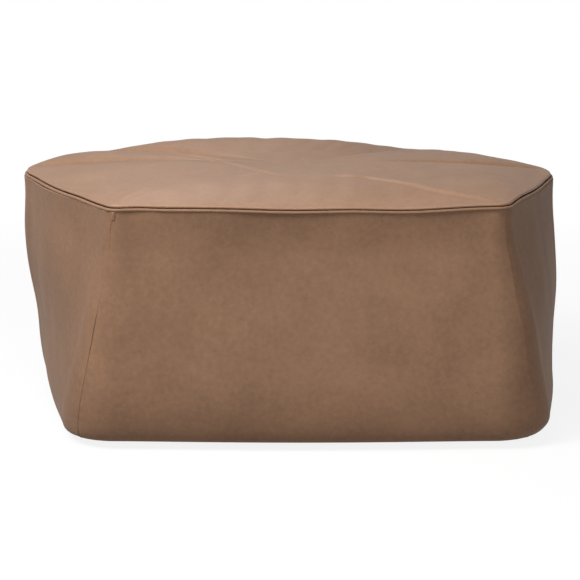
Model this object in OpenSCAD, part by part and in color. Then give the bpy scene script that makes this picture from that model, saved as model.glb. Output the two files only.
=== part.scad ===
// Low six-sided leather pouf: zipped leather cover over a calico-covered foam body on a plywood board.
// Millimetres. The origin is the middle of the footprint on the floor, +Z is up, -Y is the front.

/* [Top outline] */
// Front edge of the top, from corner to corner
top_front_w = 634; // [520:1:760]
// Back edge of the top, from corner to corner
top_back_w = 664; // [560:1:800]
// Depth of the top between its front and back edges
top_depth = 655; // [540:1:800]
// How far the front edge sits to the right, and the back edge to the left
top_skew = 36; // [0:1:50]
// How far one end of the front and back edges lies behind the middle of the edge
top_turn = 12; // [0:1:20]
// Distance between the two side tips before they are rounded
top_tip_w = 1001; // [830:1:1200]
// How far the side tips lie behind the middle
top_tip_back = 80; // [0:1:100]
// Radius of the four corners of the top
top_corner_r = 34; // [30:1:60]
// Radius of the two side tips of the top
top_tip_r = 190; // [90:1:220]

/* [Base outline] */
// Front and back edges of the body at the floor
base_edge_w = 815; // [680:1:900]
// Depth of the body at the floor
base_depth = 665; // [560:1:800]
// How far the front edge at the floor sits to the right, and the back edge to the left
base_skew = 30; // [0:1:50]
// Distance between the two side tips at the floor before they are rounded
base_tip_w = 940; // [860:1:1150]
// How far the side tips at the floor lie behind the middle
base_tip_back = 90; // [0:1:100]
// Radius of the four corners at the floor
base_corner_r = 115; // [90:1:130]
// Radius of the two side tips at the floor
base_tip_r = 175; // [120:1:200]

/* [Body] */
// Height of the top seam above the floor
seam_h = 400; // [320:1:480]
// How far each edge bows outward in plan, for every 100 of its length
edge_bow = 1.4; // [0:0.1:2.5]
// How far the side panels belly out between the base and the top seam
belly = 7; // [0:1:12]
// How far the side panels draw in just under the top seam
seam_pinch = 4; // [1:1:8]
// Radius where the side panels turn under the body
turn_r = 36; // [32:1:50]
// Width of side panel that shows on the underside, from the wall to the base seam
underlap = 62; // [56:1:80]
// Height of the base above the floor
base_gap = 11; // [11:0.5:20]

/* [Crown] */
// Height of the middle of the top above the top seam
crown_mid = 34; // [20:1:60]
// Extra height of the front sector of the top
crown_front = 24; // [10:1:40]
// Extra height of the four side sectors of the top
crown_side = 30; // [10:1:45]
// Extra height of the back sector of the top
crown_back = 46; // [10:1:60]

/* [Cover] */
// Thickness of the leather
leather_t = 2; // [1.2:0.1:2.4]
// Clearance between layers that lie on each other
layer_gap = 0.3; // [0.2:0.05:0.5]
// Clearance between the stay tapes and the calico
calico_gap = 0.6; // [0.5:0.1:0.8]
// Clearance between the batting and the foam inside it
foam_gap = 0.8; // [0.7:0.1:0.9]
// Gap between neighbouring leather panels at a seam
seam_gap = 0.5; // [0.3:0.1:0.8]
// Diameter of the welt cord
cord_d = 4; // [3:0.5:5]
// Thickness of the skived leather strip round the cord
welt_t = 1; // [0.8:0.1:1.4]
// Width of the welt's seam allowance
welt_flange = 11; // [8:1:14]
// Width of the stay tape behind each upright seam
stay_w = 26; // [20:1:34]
// Thickness of the stay tape
stay_t = 0.5; // [0.4:0.1:0.8]

/* [Filling] */
// Thickness of the calico inner cover
calico_t = 0.8; // [0.5:0.1:1]
// Thickness of the wadding
batting_t = 8; // [6:1:12]
// Thickness of the firm foam on the board
foam_base_t = 150; // [100:5:190]
// Height of the flat foam's top below the top seam
topper_seat = 40; // [30:5:60]

/* [Board and glides] */
// Thickness of the plywood board
board_t = 15; // [12:1:18]
// Clearance from the board's edge to the calico
board_clear = 2; // [1:0.5:4]
// Diameter of a glide
glide_d = 40; // [30:1:50]
// How far a glide sits in towards the middle, as a part of the way to a base corner
glide_reach = 0.68; // [0.6:0.01:0.72]
// Diameter of the glide screws
screw_d = 6; // [5:1:8]
// Diameter of the screw heads
head_d = 12; // [11:0.5:14]

/* [Zip] */
// Length of the zip between its stops
zip_len = 560; // [440:5:600]
// Width of each zip tape
tape_w = 18; // [15:1:24]
// Thickness of the zip tape
tape_t = 0.8; // [0.6:0.1:1]
// Gap between the two halves of the base where the zip shows
zip_slot = 18; // [16:1:24]
// Distance from one zip tooth to the next
tooth_pitch = 4; // [3:0.5:6]
// How far a row of teeth reaches from the middle
tooth_reach = 3.4; // [3:0.1:4]
// Thickness of the teeth
tooth_t = 2.4; // [2:0.1:3]
// Slit between the two rows of teeth, where the slider's web runs
tooth_slit = 1.2; // [1:0.1:1.6]
// Length of the slider
slider_len = 15; // [13:0.5:20]
// Thickness of the slider's plates
slider_plate = 1.3; // [1:0.1:1.8]
// Length of the pull tab from its pin
pull_len = 26; // [22:1:32]
// Width of the pull tab
pull_w = 7.4; // [7:0.1:9]
// Angle at which the pull tab rests below the base
pull_rest = 17; // [12:1:19]

/* [Hidden] */
$fn = 48;
leather = "#8f6d56";
leather_top = "#a98873";

arc_n = 3;    // steps in half a corner's arc
line_n = 4;   // steps along a straight edge
round_n = 4;  // steps in the turn under the body
wall_n = 6;   // steps up the wall

// corners counter-clockwise from front left: front left, front right, right tip, back right, back left, left tip
top_corners = [
    [top_skew - top_front_w / 2, -top_depth / 2 - top_turn],
    [top_skew + top_front_w / 2, -top_depth / 2 + top_turn],
    [top_tip_w / 2, top_tip_back],
    [top_back_w / 2 - top_skew, top_depth / 2 + top_turn],
    [-top_back_w / 2 - top_skew, top_depth / 2 - top_turn],
    [-top_tip_w / 2, top_tip_back]
];
base_corners = [
    [base_skew - base_edge_w / 2, -base_depth / 2],
    [base_skew + base_edge_w / 2, -base_depth / 2],
    [base_tip_w / 2 + base_skew / 2, base_tip_back],
    [base_edge_w / 2 - base_skew, base_depth / 2],
    [-base_edge_w / 2 - base_skew, base_depth / 2],
    [-base_tip_w / 2 + base_skew / 2, base_tip_back]
];
top_radii = [for (k = [0:5]) k % 3 == 2 ? top_tip_r : top_corner_r];
base_radii = [for (k = [0:5]) k % 3 == 2 ? base_tip_r : base_corner_r];
crown_extra = [crown_front, crown_side, crown_side, crown_back, crown_side, crown_side];

wall_foot = base_gap + turn_r;

// layers, each measured inwards from the outer face of the leather
stay_in = leather_t + layer_gap;
calico_in = stay_in + stay_t + calico_gap;
batting_in = calico_in + calico_t + layer_gap;
foam_in = batting_in + batting_t + foam_gap;
board_in = turn_r + board_clear;

// top seam: the welt's flange lies between the top panel and the side panels
cord_r = cord_d / 2;
welt_r = cord_r + welt_t;
welt_out = 2.6;                          // how far the welt stands out past the seam
flange_half = welt_t + layer_gap / 2;    // half the flange's thickness
side_top = seam_h - welt_r - layer_gap;
inner_top = side_top - welt_flange;      // where the inner layers leave the wall for the top
top_rise = flange_half + layer_gap + leather_t;
welt_in = welt_r - welt_out + seam_pinch;
panel_edge_in = welt_in + welt_r + 2 * layer_gap;
leg_end = welt_in + welt_flange;

function unit(v) = v / norm(v);
function outward(e) = [e[1], -e[0]];
function dir(a) = [cos(a), sin(a)];

// one rounded corner: its arc's centre, the angle where the arc starts and how far it turns
function corner(P, r, k) =
    let (
        n = len(P),
        back = unit(P[(k + n - 1) % n] - P[k]),
        on = unit(P[(k + 1) % n] - P[k]),
        half = acos(back * on) / 2,
        start = outward(-back)
    )
    [P[k] + unit(back + on) * r / sin(half), atan2(start[1], start[0]), 180 - 2 * half];

// points of panel k, from the middle of corner k's arc to the middle of the next one's
function panel_points(P, radii, inset, k) =
    let (
        j = (k + 1) % len(P),
        A = corner(P, radii[k], k),
        B = corner(P, radii[j], j),
        ra = radii[k] - inset,
        rb = radii[j] - inset,
        out = A[1] + A[2],
        start = A[0] + ra * dir(out),
        end = B[0] + rb * dir(B[1])
    )
    concat(
        [for (i = [0:arc_n - 1]) A[0] + ra * dir(A[1] + A[2] * (1 + i / arc_n) / 2)],
        [for (i = [0:line_n]) let (u = i / line_n)
            start * (1 - u) + end * u + dir(out) * norm(end - start) * edge_bow / 100 * 4 * u * (1 - u)],
        [for (i = [1:arc_n]) B[0] + rb * dir(B[1] + B[2] * i / arc_n / 2)]
    );

// heights that every layer shares on the wall, so that the layers lie parallel
wall_levels = [for (i = [0:wall_n]) wall_foot + (side_top - wall_foot) * i / wall_n];
// the outline at height z is a blend of the base outline (0) and the top outline (1)
function free_blend(z) = pow(max(0, min(1, z / seam_h)), 0.85);
blend_curve = concat([for (z = wall_levels) [z, free_blend(z)]], [[seam_h, 1]]);
function blend_at(z) = z < wall_foot ? free_blend(z) : lookup(z, blend_curve);
function panel_at(inset, z, k) =
    let (w = blend_at(z))
    [for (i = [0:2 * arc_n + line_n])
        let (
            t = panel_points(top_corners, top_radii, inset, k)[i],
            b = panel_points(base_corners, base_radii, inset, k)[i]
        )
        t * w + b * (1 - w)];
function drop_last(v) = [for (i = [0:len(v) - 2]) v[i]];
function ring_at(inset, z) =
    [for (k = [0:5]) each drop_last(panel_at(inset, z, k))];
function lift(points, z) = [for (p = points) [p[0], p[1], z]];

// [inset, height] along the wall, for the layer that lies d inside the outer face
wall_curve = [for (i = [0:wall_n])
    [wall_levels[i], i == wall_n ? seam_pinch : -belly * sin(180 * i / wall_n)]];
function wall_inset(d, z) = d + lookup(z, wall_curve);
function wall_heights(z_low, z_high) =
    concat([z_low], [for (z = wall_levels) if (z > z_low + 1 && z < z_high - 1) z], [z_high]);
function wall_profile(d, z_low, z_high) = [for (z = wall_heights(z_low, z_high)) [wall_inset(d, z), z]];
function turn_profile(d) =
    [for (i = [0:round_n - 1]) let (a = 90 * i / round_n)
        [turn_r - (turn_r - d) * sin(a), wall_foot - (turn_r - d) * cos(a)]];
function body_profile(d, z_high) = concat(turn_profile(d), wall_profile(d, wall_foot, z_high));
function body_rings(d, z_high) = [for (p = body_profile(d, z_high)) lift(ring_at(p[0], p[1]), p[1])];

// height of the crowned top over the seam: s runs from 0 in the middle to 1 at the seam
function crown_height(s, k, share) =
    (1 - pow(s, 5)) * (crown_mid * (1 - 0.45 * s * s) + crown_extra[k] * pow(sin(180 * share), 0.6) * s * s);
// length along a path up to point i
function run(P, i) = i == 0 ? 0 : run(P, i - 1) + norm(P[i] - P[i - 1]);
top_middle = [0, 0];
crown_steps = [1, 0.98, 0.92, 0.8, 0.62, 0.4, 0.2];
// one ring of the top, drop below its outer face; a layer with duck > 0 dips under the welt's flange
function crown_ring(s, edge_in, drop, duck = 0) =
    [for (k = [0:5]) let (P = panel_at(edge_in, seam_h, k), whole = run(P, len(P) - 1))
        for (i = [0:len(P) - 2]) let (p = top_middle + (P[i] - top_middle) * s)
            [p[0], p[1], seam_h + top_rise + crown_height(s, k, run(P, i) / whole) - drop - duck * pow(s, 8)]];
function crown_rings(steps, edge_in, drop, duck = 0) = [for (s = steps) crown_ring(s, edge_in, drop, duck)];
function crown_pole(drop) = [top_middle[0], top_middle[1], seam_h + top_rise + crown_mid - drop];

// meshes: rings run counter-clockwise seen from above, and rows run upwards
function quad(a, b, c, d) = [[a, b, c], [a, c, d]];
function ring_faces(rows, n, at) =
    [for (r = [0:rows - 2], c = [0:n - 1])
        each quad(at + r * n + c, at + (r + 1) * n + c, at + (r + 1) * n + (c + 1) % n, at + r * n + (c + 1) % n)];
function flip(faces) = [for (f = faces) [f[2], f[1], f[0]]];
function cap_up(row_at, n, pole) = [for (c = [0:n - 1]) [row_at + c, pole, row_at + (c + 1) % n]];

// a solid from rings stacked upwards, closed by a fan at each end
module stack(rings, low_pole, high_pole) {
    n = len(rings[0]);
    m = len(rings);
    polyhedron(
        concat([for (r = rings) each r], [low_pole, high_pole]),
        concat(ring_faces(m, n, 0), flip(cap_up(0, n, m * n)), cap_up((m - 1) * n, n, m * n + 1))
    );
}

// an upside-down cup from two stacks of rings, joined along their lowest rings
module cup(outer, outer_pole, inner, inner_pole) {
    n = len(outer[0]);
    m = len(outer);
    h = len(inner);
    at = m * n;
    poles = at + h * n;
    polyhedron(
        concat([for (r = outer) each r], [for (r = inner) each r], [outer_pole, inner_pole]),
        concat(
            ring_faces(m, n, 0), cap_up((m - 1) * n, n, poles),
            flip(ring_faces(h, n, at)), flip(cap_up(at + (h - 1) * n, n, poles + 1)),
            [for (c = [0:n - 1]) each quad(at + c, c, (c + 1) % n, at + (c + 1) % n)]
        )
    );
}

// a section swept along columns: its points go up the outer face and down the inner one,
// and both faces are split along the same diagonals as the stacked layers
module sweep(columns, closed = false) {
    n = len(columns[0]);
    m = len(columns);
    half = n / 2;
    last = (m - 1) * n;
    polyhedron(
        [for (c = columns) each c],
        concat(
            [for (c = [0:(closed ? m - 1 : m - 2)], i = [0:n - 1]) let (d = (c + 1) % m, j = (i + 1) % n)
                each i < half
                    ? quad(c * n + i, c * n + j, d * n + j, d * n + i)
                    : quad(c * n + j, d * n + j, d * n + i, c * n + i)],
            closed ? [] : [for (i = [0:half - 2]) each quad(i + 1, i, n - 1 - i, n - 2 - i)],
            closed ? [] : [for (i = [0:half - 2])
                each quad(last + i, last + i + 1, last + n - 2 - i, last + n - 1 - i)]
        )
    );
}
function turned(rows) = [for (c = [0:len(rows[0]) - 1]) [for (r = rows) r[c]]];
function reversed(v) = [for (i = [len(v) - 1:-1:0]) v[i]];

// trims a panel's two end columns back by half the seam gap
function trimmed(row, by) =
    let (n = len(row), a = unit(row[1] - row[0]), b = unit(row[n - 2] - row[n - 1]))
    [for (i = [0:n - 1]) row[i] + (i == 0 ? a * by : i == n - 1 ? b * by : [0, 0, 0])];

// the model is centred on its own widest outline
widest = concat(
    ring_at(welt_in - welt_r, seam_h),
    [for (p = wall_profile(0, wall_foot, side_top)) each ring_at(p[0], p[1])]
);
xs = [for (p = widest) p[0]];
ys = [for (p = widest) p[1]];
middle = [(min(xs) + max(xs)) / 2, (min(ys) + max(ys)) / 2, 0];
module centred() {
    translate(-middle) children();
}

module side_panel(k) {
    outer = concat([[underlap, base_gap]], body_profile(0, side_top));
    inner = concat([[underlap, base_gap + leather_t]], body_profile(leather_t, side_top));
    loop = concat(outer, reversed(inner));
    // the underlap keeps the base's own outline through its thickness
    function outline_z(p) = p[0] > turn_r ? base_gap : p[1];
    centred() sweep(turned([for (p = loop)
        trimmed(lift(panel_at(p[0], outline_z(p), k), p[1]), seam_gap / 2)]));
}
module side_panel_front() { color(leather) side_panel(0); }
module side_panel_front_right() { color(leather) side_panel(1); }
module side_panel_back_right() { color(leather) side_panel(2); }
module side_panel_back() { color(leather) side_panel(3); }
module side_panel_back_left() { color(leather) side_panel(4); }
module side_panel_front_left() { color(leather) side_panel(5); }

module top_panel() {
    color(leather_top) centred()
        cup(
            crown_rings(crown_steps, panel_edge_in, 0), crown_pole(0),
            crown_rings(crown_steps, panel_edge_in, leather_t), crown_pole(leather_t)
        );
}

// the welt's section, as [inset, height over the seam]: round the cord, with two legs running inwards
function around(r, a) = [welt_in - r * cos(a), r * sin(a)];
module welt_strip() {
    open_a = 150;
    leg_start = panel_edge_in - layer_gap;   // the legs are flat from here on, under the panels
    outer = concat(
        [[leg_end, -flange_half], [leg_start, -flange_half]],
        [for (i = [0:6]) around(welt_r, -open_a + 2 * open_a * i / 6)],
        [[leg_start, flange_half], [leg_end, flange_half]]
    );
    inner = concat(
        [[leg_end, layer_gap / 2], [leg_start, layer_gap / 2]],
        [for (i = [6:-1:0]) around(cord_r + 0.02, -open_a + 2 * open_a * i / 6)],
        [[leg_start, -layer_gap / 2], [leg_end, -layer_gap / 2]]
    );
    color(leather) centred()
        sweep(turned([for (p = concat(outer, inner)) lift(ring_at(p[0], seam_h), seam_h + p[1])]), closed = true);
}
module welt_cord() {
    sides = 6;
    slack = 0.3;   // room between the cord and the strip folded round it
    color("#e8e2d4") centred()
        sweep(turned([for (i = [0:sides - 1]) let (p = around(cord_r - slack, 360 * i / sides))
            lift(ring_at(p[0], seam_h), seam_h + p[1])]), closed = true);
}

// stay tapes: strips behind each upright seam, from the turn under the body to the top seam
module seam_tapes() {
    rows = wall_profile(0, wall_foot, inner_top);
    color("#d9cfbb") centred() for (k = [0:5]) {
        face = [for (p = rows) lift(seam_row(k, p[0] + stay_in, p[1]), p[1])];
        back = [for (p = rows) lift(seam_row(k, p[0] + stay_in + stay_t, p[1]), p[1])];
        sweep(turned(concat(face, reversed(back))));
    }
}
// points across corner k's seam, half a tape's width to each side of it
function seam_row(k, inset, z) =
    let (before = reversed(panel_at(inset, z, (k + 5) % 6)), after = panel_at(inset, z, k))
    concat(
        [for (part = [1, 0.5]) along(before, 0, part * stay_w / 2)],
        [for (part = [0, 0.5, 1]) along(after, 0, part * stay_w / 2)]
    );
// the point a length l along a path, counted from its point i
function along(P, i, l) =
    let (step = P[i + 1] - P[i])
    l <= norm(step) ? P[i] + unit(step) * l : along(P, i + 1, l - norm(step));

// base: two leather halves inside the turned-under edges of the side panels
zip_x = zip_len / 2;
tape_near = tooth_slit / 2 + 0.9;
tape_past = 18;   // how far the tapes run on past the stops
slot_past = 20;   // how far the slot runs on past each end of the zip
glide_spots = [for (c = base_corners) c * glide_reach];
eyelet_bore = screw_d + 1;
eyelet_barrel = eyelet_bore + 3;
eyelet_rim = eyelet_barrel + 4;
module base_shape(inset, z = base_gap) {
    polygon(ring_at(inset, z));
}
module base_half(side) {
    far = base_tip_w;
    color(leather) centred() translate([0, 0, base_gap]) difference() {
        linear_extrude(leather_t) difference() {
            base_shape(underlap + seam_gap);
            translate([-far, side > 0 ? seam_gap / 2 - far : -seam_gap / 2]) square([2 * far, far]);
            square([2 * (zip_x + slot_past), zip_slot], center = true);
        }
        for (p = glide_spots)
            translate([p[0], p[1], -1]) cylinder(d = eyelet_barrel + 0.2, h = leather_t + 2);
    }
}
module base_panel_front() { base_half(-1); }
module base_panel_back() { base_half(1); }

// board, with its clearance for the zip routed along the underside
board_z = base_gap + leather_t + layer_gap;
tape_z = base_gap + leather_t + 0.2;
slider_top = tape_z + tape_t / 2 + tooth_t / 2 + 0.5 + slider_plate;
channel_d = slider_top + 1.5 - board_z;
channel_w = 2 * (tape_near + tape_w) + 3;
tab_len = 26;
flange_t = 1.3;
tee_flange_d = 19;
tee_barrel_d = screw_d + 2;
module base_board() {
    color("#d8b98a") centred() translate([0, 0, board_z]) difference() {
        linear_extrude(board_t) base_shape(board_in, board_z + board_t / 2);
        translate([-zip_x - tab_len - 6, -channel_w / 2, -1])
            cube([2 * (zip_x + tab_len + 6), channel_w, channel_d + 1]);
        for (p = glide_spots) translate([p[0], p[1], 0]) {
            translate([0, 0, -1]) cylinder(d = tee_barrel_d + 0.2, h = board_t + 2);
            translate([0, 0, -1]) cylinder(d = eyelet_rim + 0.6, h = 2.4);
            translate([0, 0, board_t - flange_t - 0.1]) cylinder(d = tee_flange_d + 0.4, h = flange_t + 1);
        }
    }
}

module on_glides() {
    centred() for (p = glide_spots) translate([p[0], p[1], 0]) children();
}
eyelet_flange = 0.8;
glide_top = base_gap - eyelet_flange - 0.1;
head_h = 3.2;
head_seat = 4;   // depth of the pocket that the screw head sits in
module floor_glides() {
    color("#2b2a29") on_glides() rotate_extrude()
        polygon([
            [screw_d / 2 + 0.2, head_seat], [head_d / 2 + 0.3, head_seat], [head_d / 2 + 0.3, 0],
            [glide_d / 2 - 2, 0], [glide_d / 2, 1.6], [glide_d / 2, glide_top - 1.4],
            [glide_d / 2 - 1.4, glide_top], [screw_d / 2 + 0.2, glide_top]
        ]);
}
module glide_screws() {
    shank = board_z + board_t - 2 - head_seat;
    color("#b9bcc0") on_glides() translate([0, 0, head_seat]) difference() {
        union() {
            translate([0, 0, -head_h]) cylinder(d = head_d, h = head_h - 0.05);
            translate([0, 0, -0.1]) cylinder(d = screw_d, h = shank);
        }
        translate([0, 0, -head_h - 1]) cylinder(d = screw_d * 0.62, h = 3, $fn = 6);
    }
}
module base_eyelets() {
    low = base_gap - eyelet_flange;
    color("#b08d4f") on_glides() rotate_extrude()
        polygon([
            [eyelet_bore / 2, low], [eyelet_rim / 2 + 2, low], [eyelet_rim / 2 + 2, base_gap],
            [eyelet_barrel / 2, base_gap], [eyelet_barrel / 2, base_gap + leather_t],
            [eyelet_rim / 2, base_gap + leather_t], [eyelet_rim / 2, base_gap + leather_t + 0.9],
            [eyelet_bore / 2, base_gap + leather_t + 0.9]
        ]);
}
module tee_nuts() {
    z = board_z + board_t - 0.1;
    color("#a9adb0") on_glides() translate([0, 0, z - flange_t]) difference() {
        union() {
            cylinder(d = tee_flange_d, h = flange_t);
            translate([0, 0, -9]) cylinder(d = tee_barrel_d, h = 9.1);
        }
        translate([0, 0, -10]) cylinder(d = screw_d + 0.2, h = 20);
    }
}

// zip: two tapes with a comb of teeth each, end stops, end tabs, slider and pull
module tape(side) {
    color("#3a322c") centred()
        translate([-zip_x - tape_past, side > 0 ? tape_near : -tape_near - tape_w, tape_z])
            cube([2 * (zip_x + tape_past), tape_w, tape_t]);
}
module zip_tape_front() { tape(-1); }
module zip_tape_back() { tape(1); }

// one row of teeth: a spine clamped on the tape's edge, with a tooth at every pitch
tooth_n = floor((zip_len - 8) / tooth_pitch);
module teeth(side) {
    row_x = -tooth_n * tooth_pitch / 2;
    near = tooth_slit / 2;
    spine = near + 1.1;
    comb = concat(
        [[row_x, tooth_reach], [row_x, spine]],
        [for (i = [0:tooth_n - 1]) let (x = row_x + tooth_pitch * (i + 0.2))
            each [[x, spine], [x, near], [x + tooth_pitch * 0.5, near], [x + tooth_pitch * 0.5, spine]]],
        [[-row_x, spine], [-row_x, tooth_reach]]
    );
    color("#4a4038") centred() translate([0, 0, tape_z + tape_t / 2 - tooth_t / 2]) difference() {
        linear_extrude(tooth_t) polygon([for (p = comb) [p[0], side * p[1]]]);
        translate([-zip_x - 10, side > 0 ? tape_near - 0.1 : -tape_near - 10.1, tooth_t / 2 - tape_t / 2 - 0.1])
            cube([2 * zip_x + 20, 10.2, tape_t + 0.2]);
    }
}
module zip_teeth_front() { teeth(-1); }
module zip_teeth_back() { teeth(1); }

stop_len = 3;
module zip_stops() {
    z = tape_z + tape_t / 2;
    color("#a08a5a") centred() {
        // bottom stop: a bar bridging both tapes
        translate([-zip_x - 4, -tooth_reach, z - tooth_t / 2]) difference() {
            cube([stop_len, 2 * tooth_reach, tooth_t]);
            for (y = [-1, tooth_reach + tape_near - 0.1])
                translate([-1, y, tooth_t / 2 - tape_t / 2 - 0.1])
                    cube([stop_len + 2, tooth_reach - tape_near + 1.1, tape_t + 0.2]);
        }
        // top stops: one clip on each tape
        for (side = [0, 1]) mirror([0, side, 0])
            translate([zip_x + 1, tooth_slit / 2, z - tooth_t / 2]) difference() {
                cube([stop_len, tooth_reach - tooth_slit / 2, tooth_t]);
                translate([-1, tape_near - tooth_slit / 2 - 0.1, tooth_t / 2 - tape_t / 2 - 0.1])
                    cube([stop_len + 2, tooth_reach, tape_t + 0.2]);
            }
    }
}

// end tabs: leather patches over both ends of the zip, on the inside
module zip_end_tabs() {
    z = tape_z + tape_t + 0.2;
    color(leather) centred() for (side = [0, 1]) mirror([side, 0, 0])
        translate([zip_x + 8, -tape_near - tape_w + 2, z]) cube([tab_len - 8, 2 * (tape_near + tape_w - 2), 1.2]);
}

slider_w = 2 * (tooth_reach + 2.1);
pin_d = 1.6;
bridge_h = 2.3;
bridge_t = 1.2;
bridge_w = 2.4;
slider_low = tape_z + tape_t / 2 - tooth_t / 2 - 0.5 - slider_plate;
pin_z = slider_low - bridge_h / 2;
// the slider rests at the closed end, against the top stops
slider_x = zip_x - slider_len / 2 + 0.5;
module zip_slider() {
    inner_low = slider_low + slider_plate;
    inner_high = slider_top - slider_plate;
    lip = 1.3;
    color("#8f7a4c") centred() translate([slider_x, 0, 0]) {
        translate([-slider_len / 2, -slider_w / 2, slider_low]) cube([slider_len, slider_w, slider_plate]);
        translate([-slider_len / 2, -slider_w / 2, inner_high]) cube([slider_len, slider_w, slider_plate]);
        translate([slider_len / 2 - 6, -tooth_slit / 2 + 0.25, inner_low - 0.1])
            cube([5, tooth_slit - 0.5, inner_high - inner_low + 0.2]);
        for (y = [-slider_w / 2, slider_w / 2 - lip]) {
            translate([-slider_len / 2, y, inner_low - 0.1]) cube([slider_len, lip, tape_z - 0.3 - inner_low + 0.1]);
            translate([-slider_len / 2, y, tape_z + tape_t + 0.3])
                cube([slider_len, lip, inner_high - tape_z - tape_t - 0.2]);
        }
        // bridge that carries the pull's pin
        for (x = [-4.8, 3.6]) translate([x, -bridge_w / 2, slider_low - bridge_h]) cube([1.2, bridge_w, bridge_h + 0.1]);
        translate([-4.8, -bridge_w / 2, slider_low - bridge_h - bridge_t]) cube([9.6, bridge_w, bridge_t + 0.05]);
    }
}
module zip_pull() {
    tab_t = 1.4;
    window = 5.8;
    arm = (pull_w - bridge_w - 1) / 2;
    color("#8f7a4c") centred() translate([slider_x, 0, pin_z]) rotate([0, pull_rest, 0]) {
        rotate([90, 0, 0]) cylinder(d = pin_d, h = pull_w - 0.4, center = true);
        difference() {
            linear_extrude(tab_t, center = true) difference() {
                union() {
                    translate([0, -pull_w / 2]) square([pull_len - pull_w / 2, pull_w]);
                    translate([pull_len - pull_w / 2, 0]) circle(d = pull_w);
                }
                translate([-1, -pull_w / 2 + arm]) square([window + 1, pull_w - 2 * arm]);
                translate([pull_len - pull_w / 2, 0]) circle(d = 3);
            }
        }
    }
}

// filling: the firm foam reaches down round the board's edge, so that the turned edge is soft
foam_split = board_z + board_t + foam_base_t;
foam_top = seam_h - topper_seat;
function pole_at(z) = [0, 0, z];
function wall_rings(d, z_low, z_high) =
    [for (p = wall_profile(d, z_low, z_high)) lift(ring_at(p[0], p[1]), p[1])];
module foam_base() {
    rings = body_rings(foam_in, foam_split);
    color("#d7c9a4") centred() difference() {
        stack(rings, pole_at(rings[0][0][2]), pole_at(foam_split));
        translate([0, 0, board_z - 1]) linear_extrude(board_t + 1)
            base_shape(board_in - 1, board_z + board_t / 2);
    }
}
module foam_core() {
    color("#eadfbd") centred()
        stack(wall_rings(foam_in, foam_split, foam_top), pole_at(foam_split), pole_at(foam_top));
}

// inner layers of the top start at a shoulder under the welt's flange, each drop below the leather's face
inner_steps = [for (s = crown_steps) if (s < 0.95) s];
cover_drop = leather_t + layer_gap;
batting_drop = cover_drop + calico_t + layer_gap;
topper_drop = batting_drop + batting_t + foam_gap;
shoulder_in = leg_end + 1;
shoulder_z = seam_h - flange_half - layer_gap;
function shoulder(drop) =
    let (below = drop - cover_drop) lift(ring_at(shoulder_in + below / 2, seam_h), shoulder_z - below);
function inner_crown(drop) = concat([shoulder(drop)], crown_rings(inner_steps, panel_edge_in, drop, top_rise));
module foam_topper() {
    rings = concat(wall_rings(foam_in, foam_top, inner_top), inner_crown(topper_drop));
    color("#f3ebd2") centred() stack(rings, pole_at(foam_top), crown_pole(topper_drop));
}
module batting_side() {
    color("#f6f4ee") centred() sweep(turned(concat(
        body_rings(batting_in, inner_top), reversed(body_rings(batting_in + batting_t, inner_top)))), closed = true);
}
module batting_top() {
    color("#f6f4ee") centred()
        cup(
            inner_crown(batting_drop), crown_pole(batting_drop),
            inner_crown(batting_drop + batting_t), crown_pole(batting_drop + batting_t)
        );
}
module inner_cover() {
    function skin(d, drop) = concat(body_rings(d, inner_top), inner_crown(drop));
    color("#e9dfc8") centred()
        cup(
            skin(calico_in, cover_drop), crown_pole(cover_drop),
            skin(calico_in + calico_t, cover_drop + calico_t), crown_pole(cover_drop + calico_t)
        );
}

top_panel();
side_panel_front();
side_panel_front_right();
side_panel_back_right();
side_panel_back();
side_panel_back_left();
side_panel_front_left();
welt_strip();
welt_cord();
seam_tapes();
base_panel_front();
base_panel_back();
zip_tape_front();
zip_tape_back();
zip_teeth_front();
zip_teeth_back();
zip_stops();
zip_end_tabs();
zip_slider();
zip_pull();
base_board();
floor_glides();
glide_screws();
base_eyelets();
tee_nuts();
foam_base();
foam_core();
foam_topper();
batting_side();
batting_top();
inner_cover();
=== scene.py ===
# %% [markdown]
# # A six-sided leather pouf
#
# The pouf is a low block of foam on a plywood board, under a fitted cover of matte brown
# leather. The cover is a crowned top panel, six wall panels, a piped seam between them and
# a zipped base. The frame gives every hard piece its true size and place, and this file
# gives the soft pieces their real shapes and every surface its finish.

import bpy
import bmesh
import math
import numpy as np
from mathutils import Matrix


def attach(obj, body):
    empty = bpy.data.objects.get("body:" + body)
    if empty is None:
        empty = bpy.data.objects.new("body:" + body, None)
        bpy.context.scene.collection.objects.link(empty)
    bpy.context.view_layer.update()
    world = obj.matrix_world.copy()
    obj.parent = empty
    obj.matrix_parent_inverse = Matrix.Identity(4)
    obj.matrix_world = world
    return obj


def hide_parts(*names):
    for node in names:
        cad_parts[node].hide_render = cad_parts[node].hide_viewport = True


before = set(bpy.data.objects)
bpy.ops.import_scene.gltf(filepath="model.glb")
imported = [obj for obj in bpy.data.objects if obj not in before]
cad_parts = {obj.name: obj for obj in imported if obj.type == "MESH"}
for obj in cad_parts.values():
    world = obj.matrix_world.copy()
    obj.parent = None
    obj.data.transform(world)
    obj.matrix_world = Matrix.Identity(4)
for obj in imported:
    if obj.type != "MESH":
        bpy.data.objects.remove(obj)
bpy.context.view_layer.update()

# %% [markdown]
# ## Sizes
#
# The frame hands over finished solids, not the lines they were drawn from. The soft pieces
# follow the same two outlines as the solids do: one at the top seam and one at the floor,
# each a hexagon with rounded corners. The corners run anticlockwise from the front left.
# All lengths are in metres.

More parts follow.
